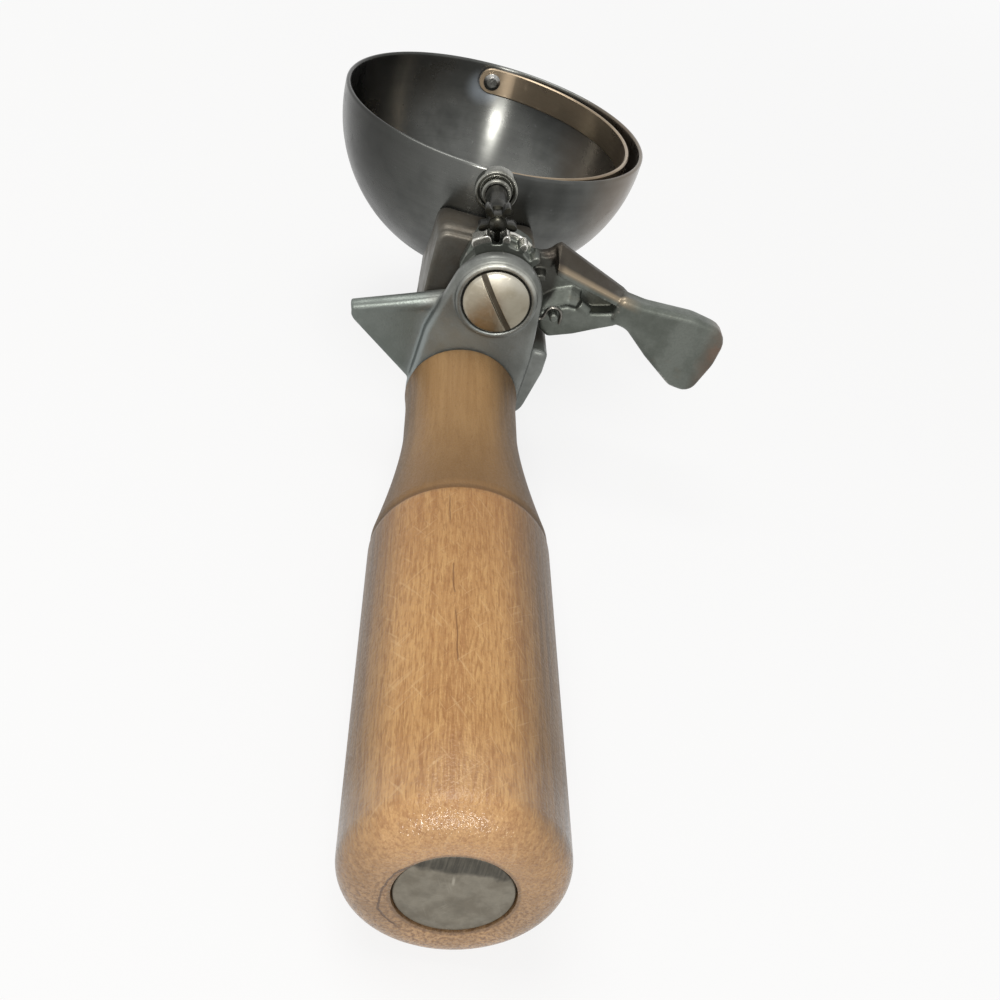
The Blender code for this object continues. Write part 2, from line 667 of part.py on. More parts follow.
def sector_outline():
    """The lever's toothed disc: an end land, three teeth and a second land, then the plain disc."""
    pitch_angle = math.tau / SECTOR_TEETH
    first = SHAFT_BEARING - pitch_angle / 2
    points = [
        (LEVER_DISC_RADIUS, first - pitch_angle),
        (SECTOR_TIP_RADIUS - TOOTH_HEIGHT * 0.7, first - pitch_angle * 0.83),
        (SECTOR_TIP_RADIUS, first - pitch_angle * 0.7),
    ]
    for index in range(5):
        left, right = tooth(
            SECTOR_ROOT_RADIUS, SECTOR_PITCH_RADIUS, SECTOR_TIP_RADIUS, SECTOR_TOOTH_WIDTH,
            first + pitch_angle * index)
        if index > 0:
            points += left
        if index < 4:
            points += right
    last = first + pitch_angle * 4
    points.append((SECTOR_TIP_RADIUS, last + pitch_angle * 0.15))
    points.append((LEVER_DISC_RADIUS, last + pitch_angle * 0.35))
    start = last + pitch_angle * 0.35
    sweep = math.tau - (start - (first - pitch_angle))
    for step in range(1, 22):
        points.append((LEVER_DISC_RADIUS, start + sweep * step / 22))
    return [polar(radius, angle) for radius, angle in points]


def pinion_outline():
    points = []
    for index in range(PINION_TEETH):
        angle = SHAFT_BEARING + math.pi + math.tau * index / PINION_TEETH
        left, right = tooth(
            PINION_ROOT_RADIUS, PINION_PITCH_RADIUS, PINION_TIP_RADIUS, PINION_LEAF_WIDTH, angle)
        points += left + right
    return [polar(radius, angle) for radius, angle in points]


def loft(name, sections, collection):
    """A closed solid through sections that have the same count of points."""
    mesh = bpy.data.meshes.new(name)
    work = bmesh.new()
    rows = [[work.verts.new(point) for point in section] for section in sections]
    count = len(sections[0])
    for row, following in zip(rows, rows[1:]):
        for index in range(count):
            after = (index + 1) % count
            work.faces.new((row[index], row[after], following[after], following[index]))
    work.faces.new(rows[0])
    work.faces.new(list(reversed(rows[-1])))
    bmesh.ops.recalc_face_normals(work, faces=work.faces)
    work.to_mesh(mesh)
    work.free()
    return add_object(name, mesh, collection)


def grid_section(along, ring):
    """A section of the lever at one place along its grid, from (y, height on the grid) points."""
    x = SCREW_X + along * LEVER_GRID
    return [(x, y, SCREW_Z + height * LEVER_GRID) for y, height in ring]


def lever_flange(paddle_rear):
    """The slanting top edge: thin behind the pinion, full width along the web, ending in the paddle."""
    thickness = FLANGE_THICKNESS / LEVER_GRID
    front = SECTOR_Y + 0.05 * MM
    behind_pinion = SECTOR_REAR_Y - WEB_LAP + 0.05 * MM
    rear = front + FLANGE_DEPTH
    stations = [
        (6.05, behind_pinion, rear, 6.0, 6.3),
        (7.2, behind_pinion, rear, 5.9, 6.2),
        (8.4, behind_pinion, rear, 5.9, 6.6),
        (9.2, behind_pinion, rear, 6.0, 7.3),
        (9.8, behind_pinion, rear, 5.95, 8.1),
    ]
    for along in (10.6, 12.4, 15.0, 18.0, 21.0, 24.6):
        stations.append((along, front, rear, 8.55 - 0.27 * along, 13.2 - 0.43 * along))
    stations.append((26.6, front, (rear + paddle_rear) / 2, 1.35, 1.55))
    stations.append((28.6, front, paddle_rear - LEVER_ROUNDING * 0.5, 0.8, 0.85))
    sections = []
    for along, near, far, low, high in stations:
        ridge = max(near + 0.6 * MM, far - FLANGE_DEPTH * 0.34)
        sections.append(grid_section(along, [
            (near, low - thickness),
            (near, low - 0.35),
            (near + 0.4 * MM, low),
            (ridge, high - 0.1),
            (far - 0.5 * MM, high - 0.1),
            (far, high - 0.6),
            (far, high - thickness - 0.6),
            (ridge, high - thickness - 1.0),
        ]))
    return loft("lever_flange", sections, cutters)


def make_lever():
    lever = plate("lever", around_screw(sector_outline()), SECTOR_Y, SECTOR_REAR_Y, 0.0, parts, LEVER_CAST)

    hub = cylinder("lever_hub", HUB_RADIUS, LEVER_Y, LEVER_REAR_Y, SCREW_X, SCREW_Z, cutters)
    combine(lever, hub, "UNION")

    sweep_radius = (SHAFT_SWEEP_RADIUS - 0.15 * MM) / LEVER_GRID
    rim = [polar(sweep_radius, math.radians(angle)) for angle in range(-36, 37, 9)]
    web_corners = [(x, z, 0.0) for x, z in rim]
    web_corners += [
        (4.9, 6.0, 0.5),
        (7.9, 5.3, 1.0),
        (10.6, 6.9, 0.8),
        (18.9, 3.9, 0.0),
        (25.2, 1.4, 1.0),
        (25.0, -1.6, 1.0),
        (20.9, -4.4, 3.0),
        (16.5, -6.6, 3.0),
        (12.6, -7.6, 1.0),
        (8.6, -6.6, 2.0),
        (2.0, -7.2, 3.0),
        (-5.0, -5.2, 3.0),
        (-7.0, 0.0, 3.0),
    ]
    web = plate("lever_web", on_grid(web_corners, 3), SECTOR_REAR_Y - WEB_LAP, LEVER_REAR_Y - 0.1 * MM,
                0.0, cutters)
    combine(lever, web, "UNION")

    belly_corners = [
        (9.2, -4.2, 1.0),
        (14.4, -1.6, 1.5),
        (19.5, -1.9, 1.5),
        (24.4, -0.6, 0.9),
        (24.6, -3.4, 0.9),
        (20.9, -5.2, 5.0),
        (17.0, -7.2, 5.0),
        (12.4, -8.9, 1.2),
        (10.4, -7.4, 1.5),
    ]
    belly = plate("lever_belly", on_grid(belly_corners), SECTOR_Y - 0.1 * MM, LEVER_REAR_Y - 0.5 * MM,
                  0.6 * MM, cutters)
    combine(lever, belly, "UNION")

    slope_front = SECTOR_Y + 0.35 * MM
    slope_rear = LEVER_REAR_Y - 0.8 * MM
    slope = []
    for along, low, high in ((9.6, -4.4, -1.7), (12.0, -3.2, 0.9), (14.6, -2.2, 2.1), (16.6, -2.3, 1.7)):
        ring = [(slope_front, low), (WEB_Y, high), (slope_rear, high), (slope_rear, low)]
        slope.append(grid_section(along, ring))
    combine(lever, loft("lever_slope", slope, cutters), "UNION")

    paddle_corners = [
        (23.6, 2.9, 1.4),
        (29.0, 2.0, 8.0),
        (38.5, 1.9, 8.0),
        (46.3, 0.2, 5.0),
        (45.6, -7.0, 8.0),
        (43.2, -14.2, 3.4),
        (38.6, -13.5, 3.4),
        (32.0, -8.5, 8.0),
        (26.6, -3.7, 4.0),
        (22.6, -2.9, 1.4),
    ]
    paddle_front = SECTOR_Y - 0.5 * MM
    paddle_rear = paddle_front + PADDLE_THICKNESS
    paddle = plate("lever_paddle", on_grid(paddle_corners, 5), paddle_front, paddle_rear,
                   LEVER_ROUNDING, cutters, resolution=2)
    combine(lever, paddle, "UNION")
    combine(lever, lever_flange(paddle_rear), "UNION")

    rib_y = SECTOR_Y + 1.1 * MM
    rib_start = Vector((SCREW_X + 16.4 * LEVER_GRID, rib_y, SCREW_Z - 1.2 * LEVER_GRID))
    rib_end = Vector((SCREW_X + 18.5 * LEVER_GRID, rib_y, SCREW_Z - 2.3 * LEVER_GRID))
    rib = bar("lever_rib", rib_start, rib_end, 1.35 * MM, 1.35 * MM, cutters, 12)
    combine(lever, rib, "UNION")

    post_end = SECTOR_Y + 0.6 * MM
    post = cylinder("lever_post", POST_RADIUS, post_end - POST_LENGTH, post_end, SCREW_X + POST_X,
                    SCREW_Z + POST_Z, cutters, steps=14)
    combine(lever, post, "UNION")

    bore = cylinder("lever_bore", SCREW_RADIUS + PIVOT_CLEARANCE, LEVER_Y - 1.0 * MM,
                    LEVER_REAR_Y + 1.0 * MM, SCREW_X, SCREW_Z, cutters, steps=40)
    combine(lever, bore, "DIFFERENCE")
    return lever


def spring_front_y():
    return PLATE_REAR_Y + SEAT_GAP + WIRE_RADIUS + 0.1 * MM


def spring_points():
    """Leg up out of the floor, the coil round the hub, then the leg that hooks over the lever's post."""
    front = spring_front_y()
    rise = SPRING_PITCH
    rear = front + rise * SPRING_TURNS
    points = [
        (SPRING_RADIUS, front, FLOOR_TOP_Z - SPRING_LEG_IN_FLOOR - SCREW_Z),
        (SPRING_RADIUS, front, (FLOOR_TOP_Z - SPRING_LEG_IN_FLOOR - SCREW_Z) / 2),
    ]
    count = round(CURL_POINTS * SPRING_TURNS)
    for step in range(count + 1):
        angle = math.tau * SPRING_TURNS * step / count
        points.append((SPRING_RADIUS * math.cos(angle), front + rise * SPRING_TURNS * step / count,
                       SPRING_RADIUS * math.sin(angle)))
    hook = POST_RADIUS + SEAT_GAP + WIRE_RADIUS + 0.05 * MM
    points.append((POST_X - hook - 1.1 * MM, rear, -SPRING_RADIUS - 0.3 * MM))
    points.append((POST_X - hook - 0.15 * MM, rear, -SPRING_RADIUS + 0.3 * MM))
    for step in range(7):
        angle = math.pi * (1.0 - step / 6)
        points.append((POST_X + hook * math.cos(angle), rear, POST_Z + hook * math.sin(angle)))
    points.append((POST_X + hook, rear, POST_Z - 1.7 * MM))
    return [Vector((SCREW_X + x, y, SCREW_Z + z)) for x, y, z in points]


def least_self_gap(points, radius, apart):
    """The least gap of a wound wire to itself, measured between points that lie apart along it."""
    fine = []
    for first, second in zip(points, points[1:]):
        fine += [first.lerp(second, share / 6) for share in range(6)]
    least = math.inf
    for index, first in enumerate(fine):
        for second in fine[index + apart:]:
            least = min(least, (first - second).length - 2 * radius)
    return least


def make_spring():
    points = spring_points()
    curve = bpy.data.curves.new("return_spring", "CURVE")
    curve.dimensions = "3D"
    curve.bevel_depth = WIRE_RADIUS
    curve.bevel_resolution = 1
    curve.use_fill_caps = True
    spline = curve.splines.new("POLY")
    spline.points.add(len(points) - 1)
    for place, point in zip(spline.points, points):
        place.co = (*point, 1.0)
    thing = bpy.data.objects.new("return_spring", curve)
    parts.objects.link(thing)
    curve.materials.append(SPRING_STEEL)
    gap = least_self_gap(points, WIRE_RADIUS, 36)
    print("return_spring: least gap of the wire to itself", round(gap / MM, 3), "mm")
    return thing


def make_scraper_shaft():
    nose = SECTOR_Y - SHAFT_NOSE
    pinion_end = SECTOR_REAR_Y - WEB_LAP - SEAT_GAP
    shoulder = SECTOR_REAR_Y + SEAT_GAP
    eye_front = BOWL_Y - eye_distance() - BLADE_THICKNESS / 2
    eye_back = eye_front + BLADE_THICKNESS
    pin = BLADE_PIN_RADIUS
    head = eye_back + SEAT_GAP
    profile = [
        (0.0, head + RIVETED_HEAD_HEIGHT),
        (RIVETED_HEAD_RADIUS * 0.6, head + RIVETED_HEAD_HEIGHT * 0.9),
        (RIVETED_HEAD_RADIUS, head + RIVETED_HEAD_HEIGHT * 0.3),
        (RIVETED_HEAD_RADIUS, head),
        (pin, head),
        (pin, eye_front - SEAT_GAP),
        (SHAFT_RADIUS, eye_front - SEAT_GAP),
        (SHAFT_RADIUS, shoulder),
        (JOURNAL_RADIUS, shoulder - 0.25 * MM),
        (JOURNAL_RADIUS, nose + 0.3 * MM),
        (JOURNAL_RADIUS * 0.6, nose),
        (0.0, nose),
    ]
    shaft = turned("scraper_shaft", profile, 32, (SHAFT_X, 0.0, SHAFT_Z), parts, SHAFT_STEEL)
    outline = [(SHAFT_X + x, SHAFT_Z + z) for x, z in pinion_outline()]
    pinion = plate("pinion", outline, SECTOR_Y + 0.1 * MM, pinion_end, 0.0, cutters)
    return combine(shaft, pinion, "UNION")


def eye_distance():
    """From the bowl's centre to the middle of the blade's flat eyes, clear of the wall all round."""
    lowest = math.sqrt(BOWL_INNER_RADIUS ** 2 - (SHAFT_DROP + BLADE_WIDTH / 2) ** 2)
    return lowest - EYE_INSET + BLADE_THICKNESS / 2


def make_scraper_blade():
    """A strip bent to the bowl's inside, lying flat on the lever's side under the rim at rest."""
    limit = math.sqrt(BOWL_INNER_RADIUS ** 2 - (BLADE_WIDTH / 2) ** 2) - BLADE_CLEARANCE
    middle = limit - BLADE_THICKNESS / 2
    flat = eye_distance()
    start = math.asin((SHAFT_DROP + BLADE_WIDTH * 0.85) / middle)
    path = [(-flat, -BLADE_WIDTH / 2), (-flat, BLADE_WIDTH * 0.42)]
    for step in range(19):
        angle = start + (math.pi - 2 * start) * step / 18
        path.append((-middle * math.cos(angle), middle * math.sin(angle) - SHAFT_DROP))
    path += [(flat, BLADE_WIDTH * 0.42), (flat, -BLADE_WIDTH / 2)]
    mesh = bpy.data.meshes.new("scraper_blade")
    work = bmesh.new()
    low = [work.verts.new((out, along, -BLADE_WIDTH / 2)) for along, out in path]
    high = [work.verts.new((out, along, BLADE_WIDTH / 2)) for along, out in path]
    for index in range(len(path) - 1):
        work.faces.new((low[index], high[index], high[index + 1], low[index + 1]))
    work.to_mesh(mesh)
    work.free()
    blade = add_object("scraper_blade", mesh, parts, BLADE_STEEL)
    blade.location = (SHAFT_X, BOWL_Y, SHAFT_Z)
    sheet = blade.modifiers.new("Sheet", "SOLIDIFY")
    sheet.thickness = BLADE_THICKNESS
    sheet.offset = 0.0
    sheet.use_even_offset = True
    bpy.context.view_layer.update()

    for name, way in (("near_eye", -1.0), ("far_eye", 1.0)):
        y = BOWL_Y + way * flat
        clearance = SEAT_GAP if way < 0 else PIVOT_CLEARANCE
        hole = cylinder(name + "_hole", BLADE_PIN_RADIUS + clearance, y - 2.0 * MM, y + 2.0 * MM,
                        SHAFT_X, SHAFT_Z, cutters, steps=24)
        trim = turned(
            name + "_trim",
            [(BLADE_WIDTH * 1.2, y + 1.2 * MM), (BLADE_WIDTH * 1.2, y - 1.2 * MM),
             (BLADE_WIDTH / 2, y - 1.2 * MM), (BLADE_WIDTH / 2, y + 1.2 * MM)],
            36, (SHAFT_X, 0.0, SHAFT_Z), cutters)
        keep = bmesh.new()
        bmesh.ops.create_cube(keep, size=1.0)
        bmesh.ops.scale(keep, vec=(BLADE_WIDTH * 3, 6.0 * MM, BLADE_WIDTH * 3), verts=keep.verts)
        bmesh.ops.translate(
            keep, vec=(SHAFT_X + BLADE_WIDTH * 1.5, y, SHAFT_Z), verts=keep.verts)
        keep_mesh = bpy.data.meshes.new(name + "_keep")
        keep.to_mesh(keep_mesh)
        keep.free()
        half = add_object(name + "_keep", keep_mesh, cutters)
        combine(trim, half, "DIFFERENCE")
        bpy.context.view_layer.update()
        combine(blade, trim, "DIFFERENCE")
        combine(blade, hole, "DIFFERENCE")
    return blade


def make_bowl():
    profile = [(BOWL_RADIUS, BOWL_COLLAR), (BOWL_RADIUS, 0.0)]
    for step in range(1, BOWL_ARC_STEPS):
        angle = math.pi / 2 * step / BOWL_ARC_STEPS
        profile.append((BOWL_RADIUS * math.cos(angle), -BOWL_RADIUS * math.sin(angle)))
    profile.append((0.0, -BOWL_RADIUS))
    inner = [(0.0, -BOWL_INNER_RADIUS)]
    for step in range(1, BOWL_ARC_STEPS):
        angle = math.pi / 2 * (1.0 - step / BOWL_ARC_STEPS)
        inner.append((BOWL_INNER_RADIUS * math.cos(angle), -BOWL_INNER_RADIUS * math.sin(angle)))
    inner += [(BOWL_INNER_RADIUS, 0.0), (BOWL_INNER_RADIUS, BOWL_COLLAR)]
    mesh = bpy.data.meshes.new("bowl")
    work = bmesh.new()
    outer_points = [work.verts.new((radius, 0.0, up)) for radius, up in profile]
    inner_points = [work.verts.new((radius, 0.0, up)) for radius, up in inner]
    for row in (outer_points, inner_points):
        for first, second in zip(row, row[1:]):
            work.edges.new((first, second))
    work.edges.new((inner_points[-1], outer_points[0]))
    work.to_mesh(mesh)
    work.free()
    bowl = add_object("bowl", mesh, parts, BOWL_STEEL)
    bowl.location = (BOWL_X, BOWL_Y, BOWL_Z)
    spin_upright(bowl, BOWL_STEPS)

    near = cylinder("bushing_hole", BUSHING_BARREL_RADIUS + SEAT_GAP, BOWL_Y - BOWL_RADIUS - 4.0 * MM,
                    BOWL_Y - BOWL_RADIUS + 6.0 * MM, SHAFT_X, SHAFT_Z, cutters)
    combine(bowl, near, "DIFFERENCE")
    far = cylinder("far_hole", BLADE_PIN_RADIUS + SEAT_GAP, BOWL_Y + BOWL_RADIUS - 6.0 * MM,
                   BOWL_Y + BOWL_RADIUS + 4.0 * MM, SHAFT_X, SHAFT_Z, cutters)
    combine(bowl, far, "DIFFERENCE")
    for name, way in (("left", -1.0), ("right", 1.0)):
        combine(bowl, rivet_bar("bowl_hole_" + name, way, SEAT_GAP, 2.0 * MM, cutters), "DIFFERENCE")
    return bowl


def make_bushing():
    """A flanged bushing: raised lip, groove and nose towards the handle, barrel through the wall."""
    wall_y = BOWL_Y - math.sqrt(BOWL_RADIUS ** 2 - SHAFT_DROP ** 2)
    inner_y = BOWL_Y - math.sqrt(BOWL_INNER_RADIUS ** 2 - (SHAFT_DROP + BUSHING_BARREL_RADIUS) ** 2)
    barrel_end = BOWL_Y - eye_distance() - BLADE_THICKNESS / 2 - SEAT_GAP
    barrel_end = min(barrel_end, inner_y)
    face = wall_y - SEAT_GAP - BUSHING_FLANGE
    bore = SHAFT_RADIUS + PIVOT_CLEARANCE
    root = face + BUSHING_GROOVE
    profile = [
        (bore, barrel_end),
        (BUSHING_BARREL_RADIUS, barrel_end),
        (BUSHING_BARREL_RADIUS, wall_y + 0.5 * MM),
        (BUSHING_RADIUS, wall_y + 1.2 * MM),
        (BUSHING_RADIUS, face + 0.3 * MM),
        (BUSHING_RADIUS - 0.3 * MM, face),
        (BUSHING_RADIUS - BUSHING_LIP + 0.2 * MM, face),
        (BUSHING_RADIUS - BUSHING_LIP, root),
        (BUSHING_NOSE_RADIUS + 0.05 * MM, root),
        (BUSHING_NOSE_RADIUS - 0.1 * MM, face - BUSHING_NOSE * 0.5),
        (BUSHING_NOSE_RADIUS - 0.55 * MM, face - BUSHING_NOSE),
        (bore, face - BUSHING_NOSE),
    ]
    bushing = turned("shaft_bushing", profile, 36, (SHAFT_X, 0.0, SHAFT_Z), parts, BUSHING_STEEL)
    return bushing


def seat_bushing(bushing):
    """The flange's back follows the bowl; the barrel, which passes the wall, is left alone."""
    room = bowl_room("bushing_room")
    keep = cylinder("barrel_keep", BUSHING_BARREL_RADIUS + 0.02 * MM, BOWL_Y - BOWL_RADIUS - 8.0 * MM,
                    BOWL_Y, SHAFT_X, SHAFT_Z, cutters, steps=36)
    combine(room, keep, "DIFFERENCE")
    bpy.context.view_layer.update()
    return combine(bushing, room, "DIFFERENCE")


def make_bowl_rivets():
    for name, way in (("bowl_rivet_left", -1.0), ("bowl_rivet_right", 1.0)):
        rivet_bar(name, way, 0.0, 0.0, parts, RIVET_STEEL)


def make_far_rivet():
    wall_y = BOWL_Y + math.sqrt(BOWL_RADIUS ** 2 - max(0.0, SHAFT_DROP - FAR_HEAD_RADIUS) ** 2)
    outside = wall_y + SEAT_GAP
    eye_back = BOWL_Y + eye_distance() - BLADE_THICKNESS / 2
    inside = eye_back - SEAT_GAP
    pin = BLADE_PIN_RADIUS
    profile = [
        (0.0, outside + FAR_HEAD_HEIGHT),
        (FAR_HEAD_RADIUS * 0.5, outside + FAR_HEAD_HEIGHT * 0.88),
        (FAR_HEAD_RADIUS * 0.87, outside + FAR_HEAD_HEIGHT * 0.5),
        (FAR_HEAD_RADIUS, outside),
        (pin, outside),
        (pin, inside),
        (RIVETED_HEAD_RADIUS, inside),
        (RIVETED_HEAD_RADIUS, inside - RIVETED_HEAD_HEIGHT * 0.3),
        (RIVETED_HEAD_RADIUS * 0.6, inside - RIVETED_HEAD_HEIGHT * 0.9),
        (0.0, inside - RIVETED_HEAD_HEIGHT),
    ]
    return turned("far_pivot_rivet", profile, 24, (SHAFT_X, 0.0, SHAFT_Z), parts, RIVET_STEEL)


def hinge(name, x, z, members):
    """An empty on a joint's line that carries the pieces turning on it."""
    pivot = bpy.data.objects.new(name, None)
    parts.objects.link(pivot)
    pivot.location = (x, SECTOR_Y, z)
    bpy.context.view_layer.update()
    for member in members:
        place = member.matrix_world.copy()
        member.parent = pivot
        member.matrix_parent_inverse = pivot.matrix_world.inverted()
        member.matrix_world = place
    return pivot


make_handle()
make_end_cap()
make_tang_rod()
make_frame()
make_pivot_screw()
lever_piece = make_lever()
make_spring()
shaft_piece = make_scraper_shaft()
blade_piece = make_scraper_blade()
make_bowl()
seat_bushing(make_bushing())
make_bowl_rivets()
make_far_rivet()
hinge("lever_pivot", SCREW_X, SCREW_Z, [lever_piece])
hinge("scraper_pivot", SHAFT_X, SHAFT_Z, [shaft_piece, blade_piece])
bpy.context.view_layer.update()
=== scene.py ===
"""The portion scoop's looks: finer turned and cast forms, materials, floor, lamps and camera."""
import math

import bmesh
import bpy
from mathutils import Matrix, Vector


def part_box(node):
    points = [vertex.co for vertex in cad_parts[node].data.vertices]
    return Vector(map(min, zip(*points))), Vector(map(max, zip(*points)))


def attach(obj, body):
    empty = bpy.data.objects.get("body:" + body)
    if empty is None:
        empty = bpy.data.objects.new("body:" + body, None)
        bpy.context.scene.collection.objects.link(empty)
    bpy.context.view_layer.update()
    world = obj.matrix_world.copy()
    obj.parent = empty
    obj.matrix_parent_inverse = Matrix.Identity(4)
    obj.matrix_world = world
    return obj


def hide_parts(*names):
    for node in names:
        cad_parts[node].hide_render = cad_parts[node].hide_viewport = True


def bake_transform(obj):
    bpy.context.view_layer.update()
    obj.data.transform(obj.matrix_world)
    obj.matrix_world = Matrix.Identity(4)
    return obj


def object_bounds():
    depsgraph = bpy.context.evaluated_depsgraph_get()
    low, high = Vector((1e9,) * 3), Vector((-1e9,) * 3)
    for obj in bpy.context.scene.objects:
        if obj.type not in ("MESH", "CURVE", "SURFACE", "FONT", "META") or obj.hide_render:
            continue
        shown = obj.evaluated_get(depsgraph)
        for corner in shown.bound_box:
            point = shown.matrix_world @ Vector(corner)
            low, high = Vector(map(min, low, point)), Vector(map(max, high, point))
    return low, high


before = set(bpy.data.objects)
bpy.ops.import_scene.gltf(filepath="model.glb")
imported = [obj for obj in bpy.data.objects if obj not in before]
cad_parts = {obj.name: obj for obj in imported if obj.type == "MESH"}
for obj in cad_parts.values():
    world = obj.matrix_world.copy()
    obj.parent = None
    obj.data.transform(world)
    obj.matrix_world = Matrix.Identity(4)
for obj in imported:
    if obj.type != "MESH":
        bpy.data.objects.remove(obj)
cad_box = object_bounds()

MM = 0.001


def middle(node):
    """The middle of a node's box."""
    low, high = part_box(node)
    return tuple((first + last) / 2 for first, last in zip(low, high))


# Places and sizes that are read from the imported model
BOWL_LOW, BOWL_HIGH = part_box("bowl")
BOWL_RADIUS = (BOWL_HIGH[0] - BOWL_LOW[0]) / 2
BOWL_CENTRE = (middle("bowl")[0], middle("bowl")[1], BOWL_LOW[2] + BOWL_RADIUS)
SHAFT_LINE = (middle("far_pivot_rivet")[0], 0.0, middle("far_pivot_rivet")[2])
SCREW_LINE = (middle("pivot_screw")[0], 0.0, middle("pivot_screw")[2])
GRIP_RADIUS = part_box("handle")[1][0]
HANDLE_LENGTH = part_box("handle")[1][1]
HEAD_RADIUS = SCREW_LINE[0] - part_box("pivot_screw")[0][0]
CAP_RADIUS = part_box("end_cap")[1][0]
BUSHING_RADIUS = SHAFT_LINE[0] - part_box("shaft_bushing")[0][0]

# Sizes of the handle that its solid has inside its box
CREASE_Y = 61.4 * MM
SHOULDER_Y = 63.9 * MM
SHOULDER_LENGTH = 29.5 * MM
SHOULDER_STEP = 0.2 * MM
NECK_RADIUS = 10.25 * MM
FLARE = 0.4 * MM
FLARE_LENGTH = 7.0 * MM
BUTT_ROUNDING = 4.6 * MM
MOUTH_CHAMFER = 0.12 * MM
ROD_BORE = 2.9 * MM
STEM_BORE = 4.6 * MM

# Sizes of the cap at the butt, whose stem goes into the handle
CAP_GAP = 0.12 * MM
CAP_THICKNESS = 2.4 * MM
STEM_RADIUS = 4.3 * MM
STEM_LENGTH = 6.0 * MM
THREAD_DEPTH = 3.1 * MM

# Sizes of the pivot screw
HEAD_GROWTH = 0.16 * MM
HEAD_DOME = 1.1 * MM
HEAD_EDGE = 1.3 * MM
RIM_ROUNDING = 0.252 * MM
SHANK_RADIUS = 2.6 * MM
TIP_RADIUS = 2.2 * MM
SLOT_WIDTH = 1.1 * MM
SLOT_DEPTH = 1.2 * MM
SLOT_ANGLE = math.radians(54.0)

# Sizes of the bowl, the bushing in its wall and the scraper's blade
WALL = 0.9 * MM
BUSHING_HOLE = 2.85 * MM
BUSHING_BARREL = 2.6 * MM
BUSHING_NOSE = 2.9 * MM
BUSHING_BORE = 2.08 * MM
BLADE_WIDTH = 5.8 * MM
BLADE_THICKNESS = 0.8 * MM
BLADE_EDGE = 0.22 * MM
PIN_RADIUS = 1.1 * MM

# The colour sockets of a mix node: the share, the two colours and the result
MIX_SHARE, MIX_FIRST, MIX_SECOND, MIX_RESULT = 0, 6, 7, 2


def tone(red, green, blue):
    """A colour as the screen shows it, 0 to 255, turned into the linear values that a shader takes."""
    return tuple(((value / 255 + 0.055) / 1.055) ** 2.4 for value in (red, green, blue))


def end_on(line):
    """Where a line along Y lies when it is seen from its end."""
    return line[0], line[2]


def new_node(tree, kind, values=None, **settings):
    """A shader node with its inputs, given by name or number, set or linked."""
    made = tree.nodes.new(kind)
    for name, value in settings.items():
        setattr(made, name, value)
    for key, value in (values or {}).items():
        if isinstance(value, bpy.types.NodeSocket):
            tree.links.new(value, made.inputs[key])
        else:
            made.inputs[key].default_value = value
    return made


